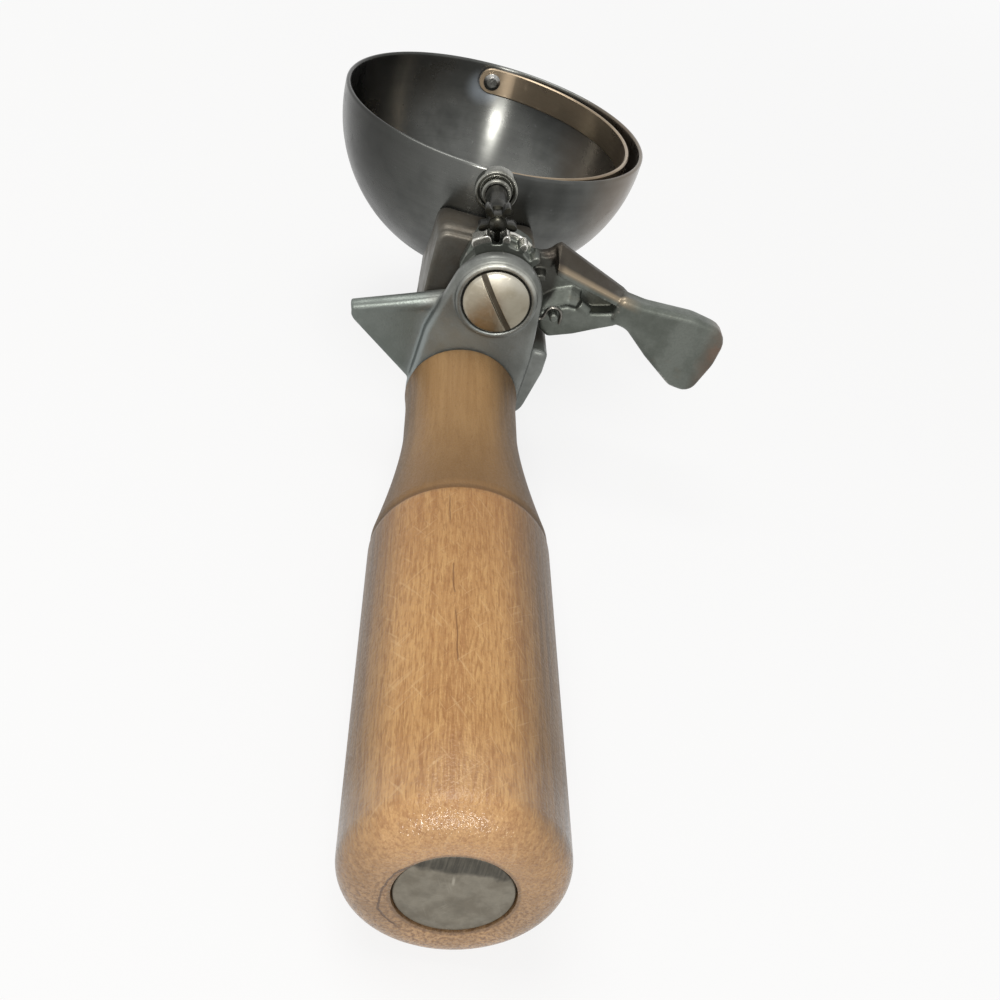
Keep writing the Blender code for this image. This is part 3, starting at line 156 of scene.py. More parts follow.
class Shader:
    """A node material whose last shader is a Principled BSDF."""

    def __init__(self, name, colour, roughness, metallic, specular=0.5):
        self.slot = name
        self.material = bpy.data.materials.new(name)
        self.material.use_nodes = True
        self.tree = self.material.node_tree
        self.shader = self.tree.nodes["Principled BSDF"]
        self.set("Base Color", (*colour, 1.0))
        self.set("Roughness", roughness)
        self.set("Metallic", metallic)
        self.set("Specular IOR Level", specular)

    def set(self, socket, value):
        self.shader.inputs[socket].default_value = value

    def wire(self, socket, output):
        self.tree.links.new(output, self.shader.inputs[socket])

    def node(self, kind, values=None, **settings):
        return new_node(self.tree, kind, values, **settings)

    # Coordinates

    def place(self):
        return self.node("ShaderNodeTexCoord").outputs["Object"]

    def split(self):
        made = self.node("ShaderNodeSeparateXYZ", {"Vector": self.place()})
        return made.outputs["X"], made.outputs["Y"], made.outputs["Z"]

    def joined(self, x, y, z):
        return self.node("ShaderNodeCombineXYZ", {"X": x, "Y": y, "Z": z}).outputs["Vector"]

    def turned(self, rotation):
        mapping = self.node("ShaderNodeMapping", {"Vector": self.place(), "Rotation": rotation})
        return mapping.outputs["Vector"]

    def distance(self, coordinates, centre):
        """How far the coordinates are from a centre that has as many of them."""
        total = 0.0
        for value, place in zip(coordinates, centre):
            gap = self.maths("SUBTRACT", value, place)
            total = self.maths("MULTIPLY_ADD", gap, gap, total)
        return self.maths("SQRT", total)

    def angle(self, across, upright, centre):
        """The angle round a centre in the plane of two coordinates."""
        return self.maths("ARCTAN2", self.maths("SUBTRACT", upright, centre[1]),
                          self.maths("SUBTRACT", across, centre[0]))

    # Numbers

    def maths(self, operation, first, second=0.0, third=0.0):
        made = self.node("ShaderNodeMath", {0: first, 1: second, 2: third}, operation=operation)
        return made.outputs["Value"]

    def product(self, *values):
        total = values[0]
        for value in values[1:]:
            total = self.maths("MULTIPLY", total, value)
        return total

    def weighted(self, *pairs):
        """The sum of values, each times its own weight."""
        total = 0.0
        for value, weight in pairs:
            total = self.maths("MULTIPLY_ADD", value, weight, total)
        return total

    def away(self, value, place):
        """How far a value is from a place, on either side of it."""
        return self.maths("ABSOLUTE", self.maths("SUBTRACT", value, place))

    def ramp(self, value, low, high, start=0.0, end=1.0):
        """A smooth change from start to end while the value goes from low to high."""
        made = self.node("ShaderNodeMapRange", {
            "Value": value, "From Min": low, "From Max": high, "To Min": start, "To Max": end},
            clamp=True, interpolation_type="SMOOTHSTEP")
        return made.outputs["Result"]

    def fall(self, value, low, high):
        """One below low, zero above high."""
        return self.ramp(value, low, high, 1.0, 0.0)

    def band(self, value, start, end, soft):
        """One between two values and zero outside them, with soft edges."""
        return self.product(self.ramp(value, start, start + soft), self.fall(value, end - soft, end))

    def noise(self, scale, detail, roughness, offset=(0.0, 0.0, 0.0), vector=None, distortion=0.0):
        """Noise with the scale given per metre, once or for each direction."""
        scale = scale if isinstance(scale, tuple) else (scale, scale, scale)
        mapping = self.node("ShaderNodeMapping", {
            "Vector": vector or self.place(), "Scale": scale, "Location": offset})
        made = self.node("ShaderNodeTexNoise", {
            "Vector": mapping.outputs["Vector"], "Scale": 1.0, "Detail": detail,
            "Roughness": roughness, "Distortion": distortion})
        return made.outputs["Fac"]

    def worn_edge(self, low=0.52, high=0.60):
        """One on the outer edges of the mesh."""
        return self.ramp(self.node("ShaderNodeNewGeometry").outputs["Pointiness"], low, high)

    # Colours and relief

    def mix(self, share, first, second):
        first, second = ((*value, 1.0) if isinstance(value, tuple) else value for value in (first, second))
        made = self.node("ShaderNodeMix", data_type="RGBA", blend_type="MIX")
        for key, value in ((MIX_SHARE, share), (MIX_FIRST, first), (MIX_SECOND, second)):
            if isinstance(value, bpy.types.NodeSocket):
                self.tree.links.new(value, made.inputs[key])
            else:
                made.inputs[key].default_value = value
        return made.outputs[MIX_RESULT]

    def painted(self, colour, mask, share, paint):
        """The colour with a share of paint where the mask is one."""
        return self.mix(self.maths("MULTIPLY", mask, share), colour, paint)

    def stained(self, colour, noise, low, high, share, paint):
        """The colour with paint in the peaks of a noise, up to a share."""
        return self.mix(self.ramp(noise, low, high, 0.0, share), colour, paint)

    def bump(self, height, strength, distance, bevel=0.0):
        """Relief, on edges that are rounded by the bevel if it is given."""
        values = {"Height": height, "Strength": strength, "Distance": distance}
        if bevel > 0.0:
            edge = self.node("ShaderNodeBevel", {"Radius": bevel}, samples=6)
            values["Normal"] = edge.outputs["Normal"]
        return self.node("ShaderNodeBump", values).outputs["Normal"]


def added(name, data):
    """A new object in the scene."""
    thing = bpy.data.objects.new(name, data)
    bpy.context.scene.collection.objects.link(thing)
    return thing


def coat(mesh, shader):
    """Give a mesh one material."""
    mesh.materials.clear()
    mesh.materials.append(shader.material)


def stand_for(node, body, mesh, shader, name, angle=math.radians(35.0)):
    """Put a finer mesh in the place of a node, riding on the same body."""
    coat(mesh, shader)
    mesh.shade_smooth()
    mesh.set_sharp_from_angle(angle=angle)
    thing = added(name, mesh)
    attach(thing, body)
    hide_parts(node)


def worked(mesh, *steps):
    """The mesh after modifiers, each given as (kind, settings)."""
    thing = added("worked", mesh)
    for kind, settings in steps:
        modifier = thing.modifiers.new(kind, kind)
        for name, value in settings.items():
            setattr(modifier, name, value)
    graph = bpy.context.evaluated_depsgraph_get()
    graph.update()
    made = bpy.data.meshes.new_from_object(thing.evaluated_get(graph))
    bpy.data.objects.remove(thing, do_unlink=True)
    return made


def cut(mesh, *cutters):
    """The mesh with the space of each cutter mesh taken out of it."""
    for cutter in cutters:
        tool = added("cutter", cutter)
        mesh = worked(mesh, ("BOOLEAN", {"operation": "DIFFERENCE", "solver": "EXACT", "object": tool}))
        bpy.data.objects.remove(tool, do_unlink=True)
    return mesh


def finished(work, name):
    """The mesh of a bmesh, with its faces turned outwards."""
    bmesh.ops.recalc_face_normals(work, faces=work.faces)
    mesh = bpy.data.meshes.new(name)
    work.to_mesh(mesh)
    work.free()
    return mesh


def lathe(profile, steps, centre, upright=False):
    """A solid turned round a line along Y, or along Z if upright. The profile is (radius, along)."""
    work = bmesh.new()
    rings = []
    for radius, along in profile:
        ring = []
        for step in range(steps if radius > 0.0 else 1):
            angle = math.tau * step / steps
            side = radius * math.cos(angle)
            other = radius * math.sin(angle)
            if upright:
                place = (centre[0] + side, centre[1] + other, along)
            else:
                place = (centre[0] + side, along, centre[2] + other)
            ring.append(work.verts.new(place))
        rings.append(ring)
    pairs = list(zip(rings, rings[1:]))
    if profile[0][0] > 0.0:
        pairs.append((rings[-1], rings[0]))
    for first, second in pairs:
        for step in range(steps):
            after = (step + 1) % steps
            if len(first) == 1:
                work.faces.new((first[0], second[step], second[after]))
            elif len(second) == 1:
                work.faces.new((first[step], first[after], second[0]))
            else:
                work.faces.new((first[step], first[after], second[after], second[step]))
    return finished(work, "turned")


def softened(corners, steps=6):
    """A profile through (radius, along, fillet) corners, each one rounded by its own fillet."""
    outline = []
    for index, (x, y, radius) in enumerate(corners):
        here = Vector((x, y))
        before = Vector(corners[index - 1][:2]) - here
        after = Vector(corners[(index + 1) % len(corners)][:2]) - here
        half = before.angle(after) / 2 if before.length > 0.0 and after.length > 0.0 else math.pi / 2
        if radius <= 0.0 or half > math.radians(88.0):
            outline.append((x, y))
            continue
        reach = min(radius / math.tan(half), before.length * 0.49, after.length * 0.49)
        radius = reach * math.tan(half)
        towards = (before.normalized() + after.normalized()).normalized()
        centre = here + towards * (radius / math.sin(half))
        start = here + before.normalized() * reach - centre
        end = here + after.normalized() * reach - centre
        first = math.atan2(start.y, start.x)
        sweep = (math.atan2(end.y, end.x) - first + math.pi) % math.tau - math.pi
        for step in range(steps + 1):
            angle = first + sweep * step / steps
            point = centre + Vector((math.cos(angle), math.sin(angle))) * radius
            outline.append((point.x, point.y))
    return outline


def block(size, place, turn):
    """A box that is turned about the Y direction."""
    work = bmesh.new()
    bmesh.ops.create_cube(work, size=1.0)
    bmesh.ops.scale(work, vec=size, verts=work.verts)
    bmesh.ops.rotate(work, cent=(0.0, 0.0, 0.0), matrix=Matrix.Rotation(turn, 3, "Y"), verts=work.verts)
    bmesh.ops.translate(work, vec=place, verts=work.verts)
    return finished(work, "block")


def rod(radius, start, end, centre, steps=64):
    """A plain round bar along Y."""
    return lathe([(0.0, start), (radius, start), (radius, end), (0.0, end)], steps, centre)


def handle_radius(along):
    """The handle's outside from the crease to the frame: a hollow sweep that ends in a slight flare."""
    share = min(1.0, max(0.0, (along - SHOULDER_Y) / SHOULDER_LENGTH))
    radius = NECK_RADIUS + (GRIP_RADIUS - SHOULDER_STEP - NECK_RADIUS) * (1.0 - share) ** 1.5
    return radius + FLARE * max(0.0, 1.0 - (HANDLE_LENGTH - along) / FLARE_LENGTH) ** 2


def handle_mesh():
    """The turned handle with its butt rounded, a fine groove at the crease and its bores."""
    mouth = CAP_RADIUS + CAP_GAP
    floor = CAP_THICKNESS + 0.3 * MM
    profile = [(mouth + MOUTH_CHAMFER, 0.0)]
    for step in range(21):
        angle = math.pi / 2 * step / 20
        profile.append((GRIP_RADIUS - BUTT_ROUNDING * (1.0 - math.sin(angle)),
                        BUTT_ROUNDING * (1.0 - math.cos(angle))))
    profile += [(GRIP_RADIUS, along * MM) for along in (12.0, 24.0, 36.0, 48.0, 56.0, 60.6)]
    groove = ((0.03, 0.0), (0.24, 0.5), (0.32, 0.9), (0.22, 1.4))
    profile += [(GRIP_RADIUS - depth * MM, CREASE_Y + on * MM) for depth, on in groove]
    for step in range(72):
        along = SHOULDER_Y + (HANDLE_LENGTH - 0.35 * MM - SHOULDER_Y) * step / 71
        profile.append((handle_radius(along), along))
    end = handle_radius(HANDLE_LENGTH)
    profile += [
        (end - 0.1 * MM, HANDLE_LENGTH - 0.1 * MM),
        (end - 0.35 * MM, HANDLE_LENGTH),
        (ROD_BORE, HANDLE_LENGTH),
        (ROD_BORE, floor + STEM_LENGTH),
        (STEM_BORE, floor + STEM_LENGTH),
        (STEM_BORE, floor),
        (mouth, floor),
        (mouth, 0.15 * MM),
        (mouth + 0.04 * MM, 0.04 * MM),
    ]
    return lathe(profile, 160, (0.0, 0.0, 0.0))


def cap_mesh():
    """The cap nut: a nearly flat face with a turned-over rim, and a bored stem behind it."""
    profile = softened([
        (0.0, 0.0, 0.0),
        (CAP_RADIUS - 1.7 * MM, 0.0, 3.0 * MM),
        (CAP_RADIUS - 0.15 * MM, 0.22 * MM, 0.3 * MM),
        (CAP_RADIUS, 0.45 * MM, 0.2 * MM),
        (CAP_RADIUS, CAP_THICKNESS, 0.2 * MM),
        (STEM_RADIUS, CAP_THICKNESS, 0.0),
        (STEM_RADIUS, CAP_THICKNESS + STEM_LENGTH, 0.0),
        (ROD_BORE, CAP_THICKNESS + STEM_LENGTH, 0.0),
        (ROD_BORE, THREAD_DEPTH, 0.0),
        (0.0, THREAD_DEPTH, 0.0),
    ])
    return lathe(profile, 96, (0.0, 0.0, 0.0))


def screw_mesh():
    """The slotted screw: a low dome with a rounded rim and softened slot edges."""
    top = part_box("pivot_screw")[0][1]
    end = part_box("pivot_screw")[1][1]
    rim = top + HEAD_DOME
    back = rim + HEAD_EDGE
    wide = HEAD_RADIUS + HEAD_GROWTH
    profile = [(0.0, end), (TIP_RADIUS, end), (SHANK_RADIUS, end - 0.5 * MM), (SHANK_RADIUS, back),
               (wide - 0.1 * MM, back), (wide, back - 0.1 * MM), (wide, rim + 0.3 * MM)]
    for step in range(25):
        share = 1.0 - step / 24
        dome = HEAD_DOME * (1.0 - share ** 2)
        edge = RIM_ROUNDING * max(0.0, (share - 0.93) / 0.07) ** 2
        profile.append((wide * share, rim - dome + edge))
    head = lathe(profile, 128, SCREW_LINE)
    slot = block((HEAD_RADIUS * 2.4, SLOT_DEPTH * 2, SLOT_WIDTH),
                 (SCREW_LINE[0], top, SCREW_LINE[2]), SLOT_ANGLE)
    return worked(cut(head, slot), ("BEVEL", {
        "width": 0.09 * MM, "segments": 2, "limit_method": "ANGLE", "angle_limit": math.radians(50.0)}))


def bowl_mesh():
    """The spun bowl: a half ball with a short straight collar and a rounded lip."""
    high = BOWL_HIGH[2]
    low = BOWL_CENTRE[2]
    inner = BOWL_RADIUS - WALL
    lip = WALL / 2
    profile = [(0.0, low - BOWL_RADIUS)]
    for step in range(1, 73):
        angle = math.pi / 2 * step / 72
        profile.append((BOWL_RADIUS * math.sin(angle), low - BOWL_RADIUS * math.cos(angle)))
    profile.append((BOWL_RADIUS, high - lip * 1.6))
    for step in range(9):
        angle = math.pi * step / 8
        profile.append((BOWL_RADIUS - lip + lip * math.cos(angle), high - lip + lip * math.sin(angle)))
    profile.append((inner, high - lip * 1.6))
    for step in range(72):
        angle = math.pi / 2 * (1.0 - step / 72)
        profile.append((inner * math.sin(angle), low - inner * math.cos(angle)))
    profile.append((0.0, low - inner))
    shell = lathe(profile, 192, BOWL_CENTRE, upright=True)
    near = BOWL_CENTRE[1] - BOWL_RADIUS
    return cut(shell, rod(BUSHING_HOLE, near - 3.0 * MM, near + 5.0 * MM, SHAFT_LINE))


def bushing_mesh():
    """The flanged bushing: a raised lip, a groove and a nose round the shaft."""
    near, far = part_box("shaft_bushing")
    face = near[1] + 1.1 * MM
    wall = BOWL_CENTRE[1] - BOWL_RADIUS + 0.75 * MM
    profile = softened([
        (BUSHING_BORE, far[1], 0.0),
        (BUSHING_BARREL, far[1], 0.0),
        (BUSHING_BARREL, wall, 0.0),
        (BUSHING_RADIUS, wall, 0.0),
        (BUSHING_RADIUS, face, 0.45 * MM),
        (BUSHING_RADIUS - 0.75 * MM, face, 0.3 * MM),
        (BUSHING_RADIUS - 0.85 * MM, face + 0.65 * MM, 0.15 * MM),
        (BUSHING_NOSE, face + 0.65 * MM, 0.15 * MM),
        (BUSHING_NOSE - 0.1 * MM, face - 1.1 * MM, 0.5 * MM),
        (BUSHING_BORE, face - 1.1 * MM, 0.0),
    ])
    return lathe(profile, 96, SHAFT_LINE)


def blade_path(reach, flat, drop):
    """The strip's middle line as (along, out, half width): an eye, the bow inside the bowl, an eye."""
    start = math.asin((drop + BLADE_WIDTH * 0.85) / reach)
    path = []
    for step in range(13):
        out = -BLADE_WIDTH / 2 * math.cos(math.pi / 2 * step / 12)
        path.append((-flat, out, math.sqrt(max(0.0, BLADE_WIDTH ** 2 / 4 - out ** 2))))
    path += [(-flat, BLADE_WIDTH * share, BLADE_WIDTH / 2) for share in (0.2, 0.42)]
    eye = path[:]
    for step in range(121):
        angle = start + (math.pi - 2 * start) * step / 120
        path.append((-reach * math.cos(angle), reach * math.sin(angle) - drop, BLADE_WIDTH / 2))
    return path + [(-along, out, half) for along, out, half in reversed(eye)]


def blade_mesh():
    """The scraper's strip: rounded edges, bent to the bowl, with a flat round eye at each end."""
    low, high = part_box("scraper_blade")
    drop = BOWL_CENTRE[2] - SHAFT_LINE[2]
    reach = high[0] - SHAFT_LINE[0] - BLADE_THICKNESS / 2 + drop
    flat = (high[1] - low[1] - BLADE_THICKNESS) / 2
    path = blade_path(reach, flat, drop)
    thick = BLADE_THICKNESS / 2
    work = bmesh.new()
    rings = []
    for index, (along, out, half) in enumerate(path):
        before = path[max(0, index - 1)]
        after = path[min(len(path) - 1, index + 1)]
        way = Vector((after[0] - before[0], after[1] - before[1])).normalized()
        across = Vector((-way.y, way.x))
        half = max(half, 0.25 * MM)
        corner = min(BLADE_EDGE, half * 0.5)
        ring = []
        for side, rise in ((-half, corner - thick), (-half, thick - corner), (corner - half, thick),
                           (half - corner, thick), (half, thick - corner), (half, corner - thick),
                           (half - corner, -thick), (corner - half, -thick)):
            shift = across * rise
            ring.append(work.verts.new((
                SHAFT_LINE[0] + out + shift.y, BOWL_CENTRE[1] + along + shift.x, SHAFT_LINE[2] + side)))
        rings.append(ring)
    for first, second in zip(rings, rings[1:]):
        for index in range(8):
            after = (index + 1) % 8
            work.faces.new((first[index], first[after], second[after], second[index]))
    work.faces.new(rings[0])
    work.faces.new(list(reversed(rings[-1])))
    cutters = []
    for eye, room in ((BOWL_CENTRE[1] - flat, 0.3 * MM), (BOWL_CENTRE[1] + flat, 0.08 * MM)):
        cutters.append(rod(PIN_RADIUS + room, eye - 2.0 * MM, eye + 2.0 * MM, SHAFT_LINE, 48))
    return cut(finished(work, "blade"), *cutters)


def cast_mesh(node, voxel, passes):
    """The casting with every edge and inner corner rounded as a mould leaves them."""
    return worked(
        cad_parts[node].data.copy(),
        ("REMESH", {"mode": "VOXEL", "voxel_size": voxel, "adaptivity": 0.0}),
        ("SMOOTH", {"factor": 0.5, "iterations": passes}))


def shaft_mesh():
    """The scraper's shaft with the sharp edges of its leaves broken."""
    return worked(
        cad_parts["scraper_shaft"].data.copy(),
        ("WELD", {"merge_threshold": 0.001 * MM}),
        ("BEVEL", {"width": 0.08 * MM, "segments": 2, "limit_method": "ANGLE",
                   "angle_limit": math.radians(40.0), "use_clamp_overlap": True}))


def grip_figure(wood, streak, fibre, fleck):
    """The grip's figure: broad bands, streaks, fibres, flecks, rays and short pale scuffs."""
    broad = wood.noise((60.0, 11.0, 60.0), 3.0, 0.5)
    ray = wood.noise((420.0, 620.0, 420.0), 4.0, 0.66, (1.0, 9.0, 3.0))
    colour = wood.mix(wood.ramp(broad, 0.35, 0.68), tone(198, 154, 102), tone(182, 137, 86))
    colour = wood.stained(colour, streak, 0.44, 0.62, 0.58, tone(158, 110, 66))
    colour = wood.stained(colour, fibre, 0.46, 0.64, 0.50, tone(214, 172, 116))
    colour = wood.stained(colour, fleck, 0.48, 0.63, 0.55, tone(148, 102, 58))
    colour = wood.stained(colour, ray, 0.52, 0.70, 0.26, tone(158, 110, 64))
    for index, slant in enumerate((0.8, -0.5)):
        way = wood.turned((0.0, 0.0, slant))
        scuff = wood.noise((2300.0, 150.0, 150.0), 1.0, 0.5, (3.0 * index, 1.0, 6.0), way)
        colour = wood.stained(colour, scuff, 0.66, 0.74, 0.30, tone(222, 186, 138))
    return colour


def neck_figure(wood, y, streak, fleck):
    """The neck's colour: smooth and dull, with painted shade that is darkest just above the crease."""
    colour = wood.mix(wood.ramp(streak, 0.30, 0.72), tone(164, 130, 88), tone(148, 114, 74))
    # Painted shade on the neck's shoulder, darkest just above the crease and gone by 92 mm.
    colour = wood.mix(wood.ramp(y, 62.0 * MM, 92.0 * MM, 0.75, 0.0), colour, tone(120, 91, 58))
    return wood.stained(colour, fleck, 0.55, 0.70, 0.30, tone(118, 86, 55))


def drying_cracks(wood, x, y, z):
    """One on hairline cracks that run nearly straight along the top of the grip."""
    wander = wood.noise((0.0, 210.0, 0.0), 2.0, 0.5)
    line = wood.maths("MULTIPLY_ADD", y, -0.0467, -2.21 * MM)
    line = wood.maths("MULTIPLY_ADD", wander, 0.6 * MM, line)
    hairline = wood.fall(wood.away(x, line), 0.02 * MM, 0.12 * MM)
    breaks = wood.ramp(wood.noise((0.0, 105.0, 0.0), 1.0, 0.5, (0.0, 3.4, 0.0)), 0.47, 0.53)
    on_top = wood.ramp(z, 9.0 * MM, 10.5 * MM)
    return wood.product(hairline, breaks, on_top, wood.band(y, 22.0 * MM, 61.0 * MM, 3.0 * MM))


def end_grain(wood, colour, end, pores, stain, z):
    """The butt's end grain: mottled, brown and dry, most of it below the cap."""
    grain = wood.mix(wood.ramp(pores, 0.40, 0.62), tone(172, 138, 100), tone(116, 86, 58))
    grain = wood.stained(grain, stain, 0.40, 0.66, 0.55, tone(134, 104, 72))
    return wood.mix(wood.product(end, wood.ramp(z, -6.0 * MM, 9.0 * MM, 1.0, 0.35)), colour, grain)


def end_check(wood, x, y, z, stain):
    """One on a ragged, curved check in the end grain on the left of the cap."""
    reach = wood.distance((x, z), (-1.0 * MM, -1.2 * MM))
    ragged = wood.maths("MULTIPLY_ADD", stain, 1.3 * MM, 7.0 * MM)
    line = wood.fall(wood.away(reach, ragged), 0.06 * MM, 0.22 * MM)
    return wood.product(line, wood.fall(x, -6.0 * MM, -4.5 * MM), wood.fall(y, 0.3 * MM, 1.0 * MM))


def flank_shade(wood, x, z, radius, streak, end):
    """How much painted shade darkens the flanks, a little more on the right, less so on the butt's end."""
    side = wood.weighted((x, 0.967), (z, 0.256))
    side = wood.maths("MAXIMUM", wood.product(side, 1.12), wood.product(side, -1.04))
    side = wood.maths("DIVIDE", side, radius)
    return wood.product(wood.ramp(side, 0.46, 1.02), wood.ramp(streak, 0.34, 0.66, 0.74, 0.92),
                        wood.maths("MULTIPLY_ADD", end, -0.65, 1.0))


def varnished_wood():
    """Fine short-fibred wood: varnished and warm on the grip, bare and duller on the neck and butt."""
    wood = Shader("varnished_wood", tone(184, 139, 88), 0.42, 0.0, 0.22)
    x, y, z = wood.split()
    radius = wood.distance((x, z), (0.0, 0.0))
    streak = wood.noise((700.0, 22.0, 700.0), 5.0, 0.66, distortion=0.3)
    fibre = wood.noise((3600.0, 260.0, 3600.0), 3.0, 0.62)
    fleck = wood.noise((3000.0, 430.0, 3000.0), 3.0, 0.62, (4.0, 2.0, 7.0))
    pores = wood.noise((1900.0, 900.0, 1900.0), 4.0, 0.68, (3.0, 0.0, 5.0))
    stain = wood.noise((300.0, 160.0, 300.0), 3.0, 0.6, (8.0, 0.0, 1.0))
    neck = wood.ramp(y, 61.2 * MM, 62.2 * MM)
    end = wood.fall(y, 0.4 * MM, 4.6 * MM)

    colour = wood.mix(neck, grip_figure(wood, streak, fibre, fleck), neck_figure(wood, y, streak, fleck))
    # Painted shade: a dark line along the crease's groove.
    crease = wood.fall(wood.away(y, 62.2 * MM), 0.2 * MM, 0.9 * MM)
    colour = wood.painted(colour, crease, 0.50, tone(92, 66, 42))
    crack = drying_cracks(wood, x, y, z)
    colour = wood.painted(colour, crack, 0.70, tone(112, 72, 38))
    colour = end_grain(wood, colour, end, pores, stain, z)
    check = end_check(wood, x, y, z, stain)
    colour = wood.painted(colour, check, 0.85, tone(78, 50, 32))
    # The shadow line round the cap.
    shadow = wood.product(wood.fall(radius, 7.75 * MM, 8.15 * MM), wood.fall(y, 2.0 * MM, 4.0 * MM))
    colour = wood.painted(colour, shadow, 0.55, tone(84, 62, 42))
    # The grip is browner towards the crease.
    brown = wood.product(wood.band(y, 30.0 * MM, 62.2 * MM, 0.6 * MM),
                         wood.ramp(y, 30.0 * MM, 60.0 * MM, 0.0, 0.30))
    colour = wood.mix(brown, colour, tone(140, 96, 52))
    # The flanks are darkened with painted shade.
    wood.wire("Base Color", wood.mix(flank_shade(wood, x, z, radius, streak, end), colour, tone(82, 66, 47)))

    shine = wood.noise((2500.0, 2300.0, 2500.0), 2.0, 0.5, (5.0, 5.0, 5.0))
    gloss = wood.ramp(shine, 0.3, 0.7, 0.30, 0.44)
    wood.wire("Roughness", wood.weighted((gloss, 1.0), (end, 0.14), (neck, 0.18)))
    # The varnish is thickest where the butt turns over.
    wood.wire("Coat Weight", wood.ramp(y, 4.0 * MM, 16.0 * MM, 0.75, 0.07))
    wood.set("Coat Roughness", 0.17)
    height = wood.weighted((fibre, 0.5), (shine, 1.1), (fleck, -0.6), (crack, -1.5), (check, -2.5),
                           (wood.product(pores, end), -1.3))
    wood.wire("Normal", wood.bump(height, 0.55, 0.13 * MM))
    wood.wire("Coat Normal", wood.bump(shine, 0.90, 0.20 * MM))
    return wood


def cast_metal(name, light, dark, warm, seed, edge, extra):
    """Dull cast metal: fine grain, broad dull patches, polished edges and a little brown dirt."""
    cast = Shader(name, light, 0.42, 0.85)
    patch = cast.noise(150.0, 4.0, 0.6, (seed, 0.0, seed))
    grain = cast.noise(2400.0, 3.0, 0.6, (0.0, seed, 0.0))
    dirt = cast.noise(260.0, 3.0, 0.65, (seed, seed, 0.0))
    colour = cast.mix(cast.ramp(patch, 0.36, 0.66), light, dark)
    colour = cast.stained(colour, grain, 0.44, 0.66, 0.26, dark)
    colour = cast.stained(colour, dirt, 0.60, 0.76, 0.20, warm)
    worn = cast.product(cast.worn_edge(), cast.ramp(grain, 0.3, 0.6, 0.4, 1.0))
    colour = cast.painted(colour, worn, 0.50, edge)
    rough = cast.maths("MULTIPLY_ADD", worn, -0.10, cast.ramp(patch, 0.35, 0.68, 0.36, 0.52))
    colour, rough = extra(cast, colour, rough, dirt)
    cast.wire("Base Color", colour)
    cast.wire("Roughness", rough)
    height = cast.weighted((grain, 0.7), (patch, 0.8))
    cast.wire("Normal", cast.bump(height, 0.35, 0.12 * MM))
    return cast


def frame_marks(cast, colour, rough, dirt):
    """A clean, greenish tab, a pale foot of the screw's plate, a painted highlight on the boss's rim, a rear
    wall painted dark brown for dirt and for shade, and painted light on the wall's top.
    """
    x, y, z = cast.split()
    tab = cast.fall(x, -12.5 * MM, -9.5 * MM)
    plate = cast.fall(y, 111.0 * MM, 113.0 * MM)
    colour = cast.painted(colour, tab, 0.55, tone(104, 113, 108))
    foot = cast.product(cast.fall(z, 12.0 * MM, 19.0 * MM), plate, cast.ramp(x, -12.5 * MM, -9.5 * MM),
                        cast.ramp(x, -1.0 * MM, 7.0 * MM, 1.0, 0.15))
    colour = cast.painted(colour, foot, 0.70, tone(140, 148, 148))
    # A painted highlight on the boss's rim over the screw.
    radius = cast.distance((x, z), end_on(SCREW_LINE))
    rim = cast.product(cast.band(radius, HEAD_RADIUS + 0.3 * MM, HEAD_RADIUS + 1.9 * MM, 0.6 * MM),
                       cast.ramp(z, SCREW_LINE[2] + 1.0 * MM, SCREW_LINE[2] + 5.5 * MM), plate,
                       cast.ramp(dirt, 0.3, 0.6, 0.38, 0.62))
    colour = cast.mix(rim, colour, tone(206, 206, 196))
    # The rear wall is painted dark brown: partly dirt, partly painted shade behind the front plate.
    wall = cast.product(cast.ramp(y, 113.5 * MM, 116.0 * MM), cast.ramp(dirt, 0.28, 0.74, 0.48, 0.76))
    colour = cast.mix(wall, colour, tone(78, 69, 58))
    # Painted light: the top of the rear block is painted lighter, where light falls on it.
    top = cast.product(cast.ramp(y, 121.5 * MM, 123.0 * MM), cast.ramp(z, 24.5 * MM, 26.2 * MM))
    colour = cast.painted(colour, top, 0.25, tone(108, 98, 84))
    return colour, cast.maths("MULTIPLY_ADD", wall, 0.16, rough)


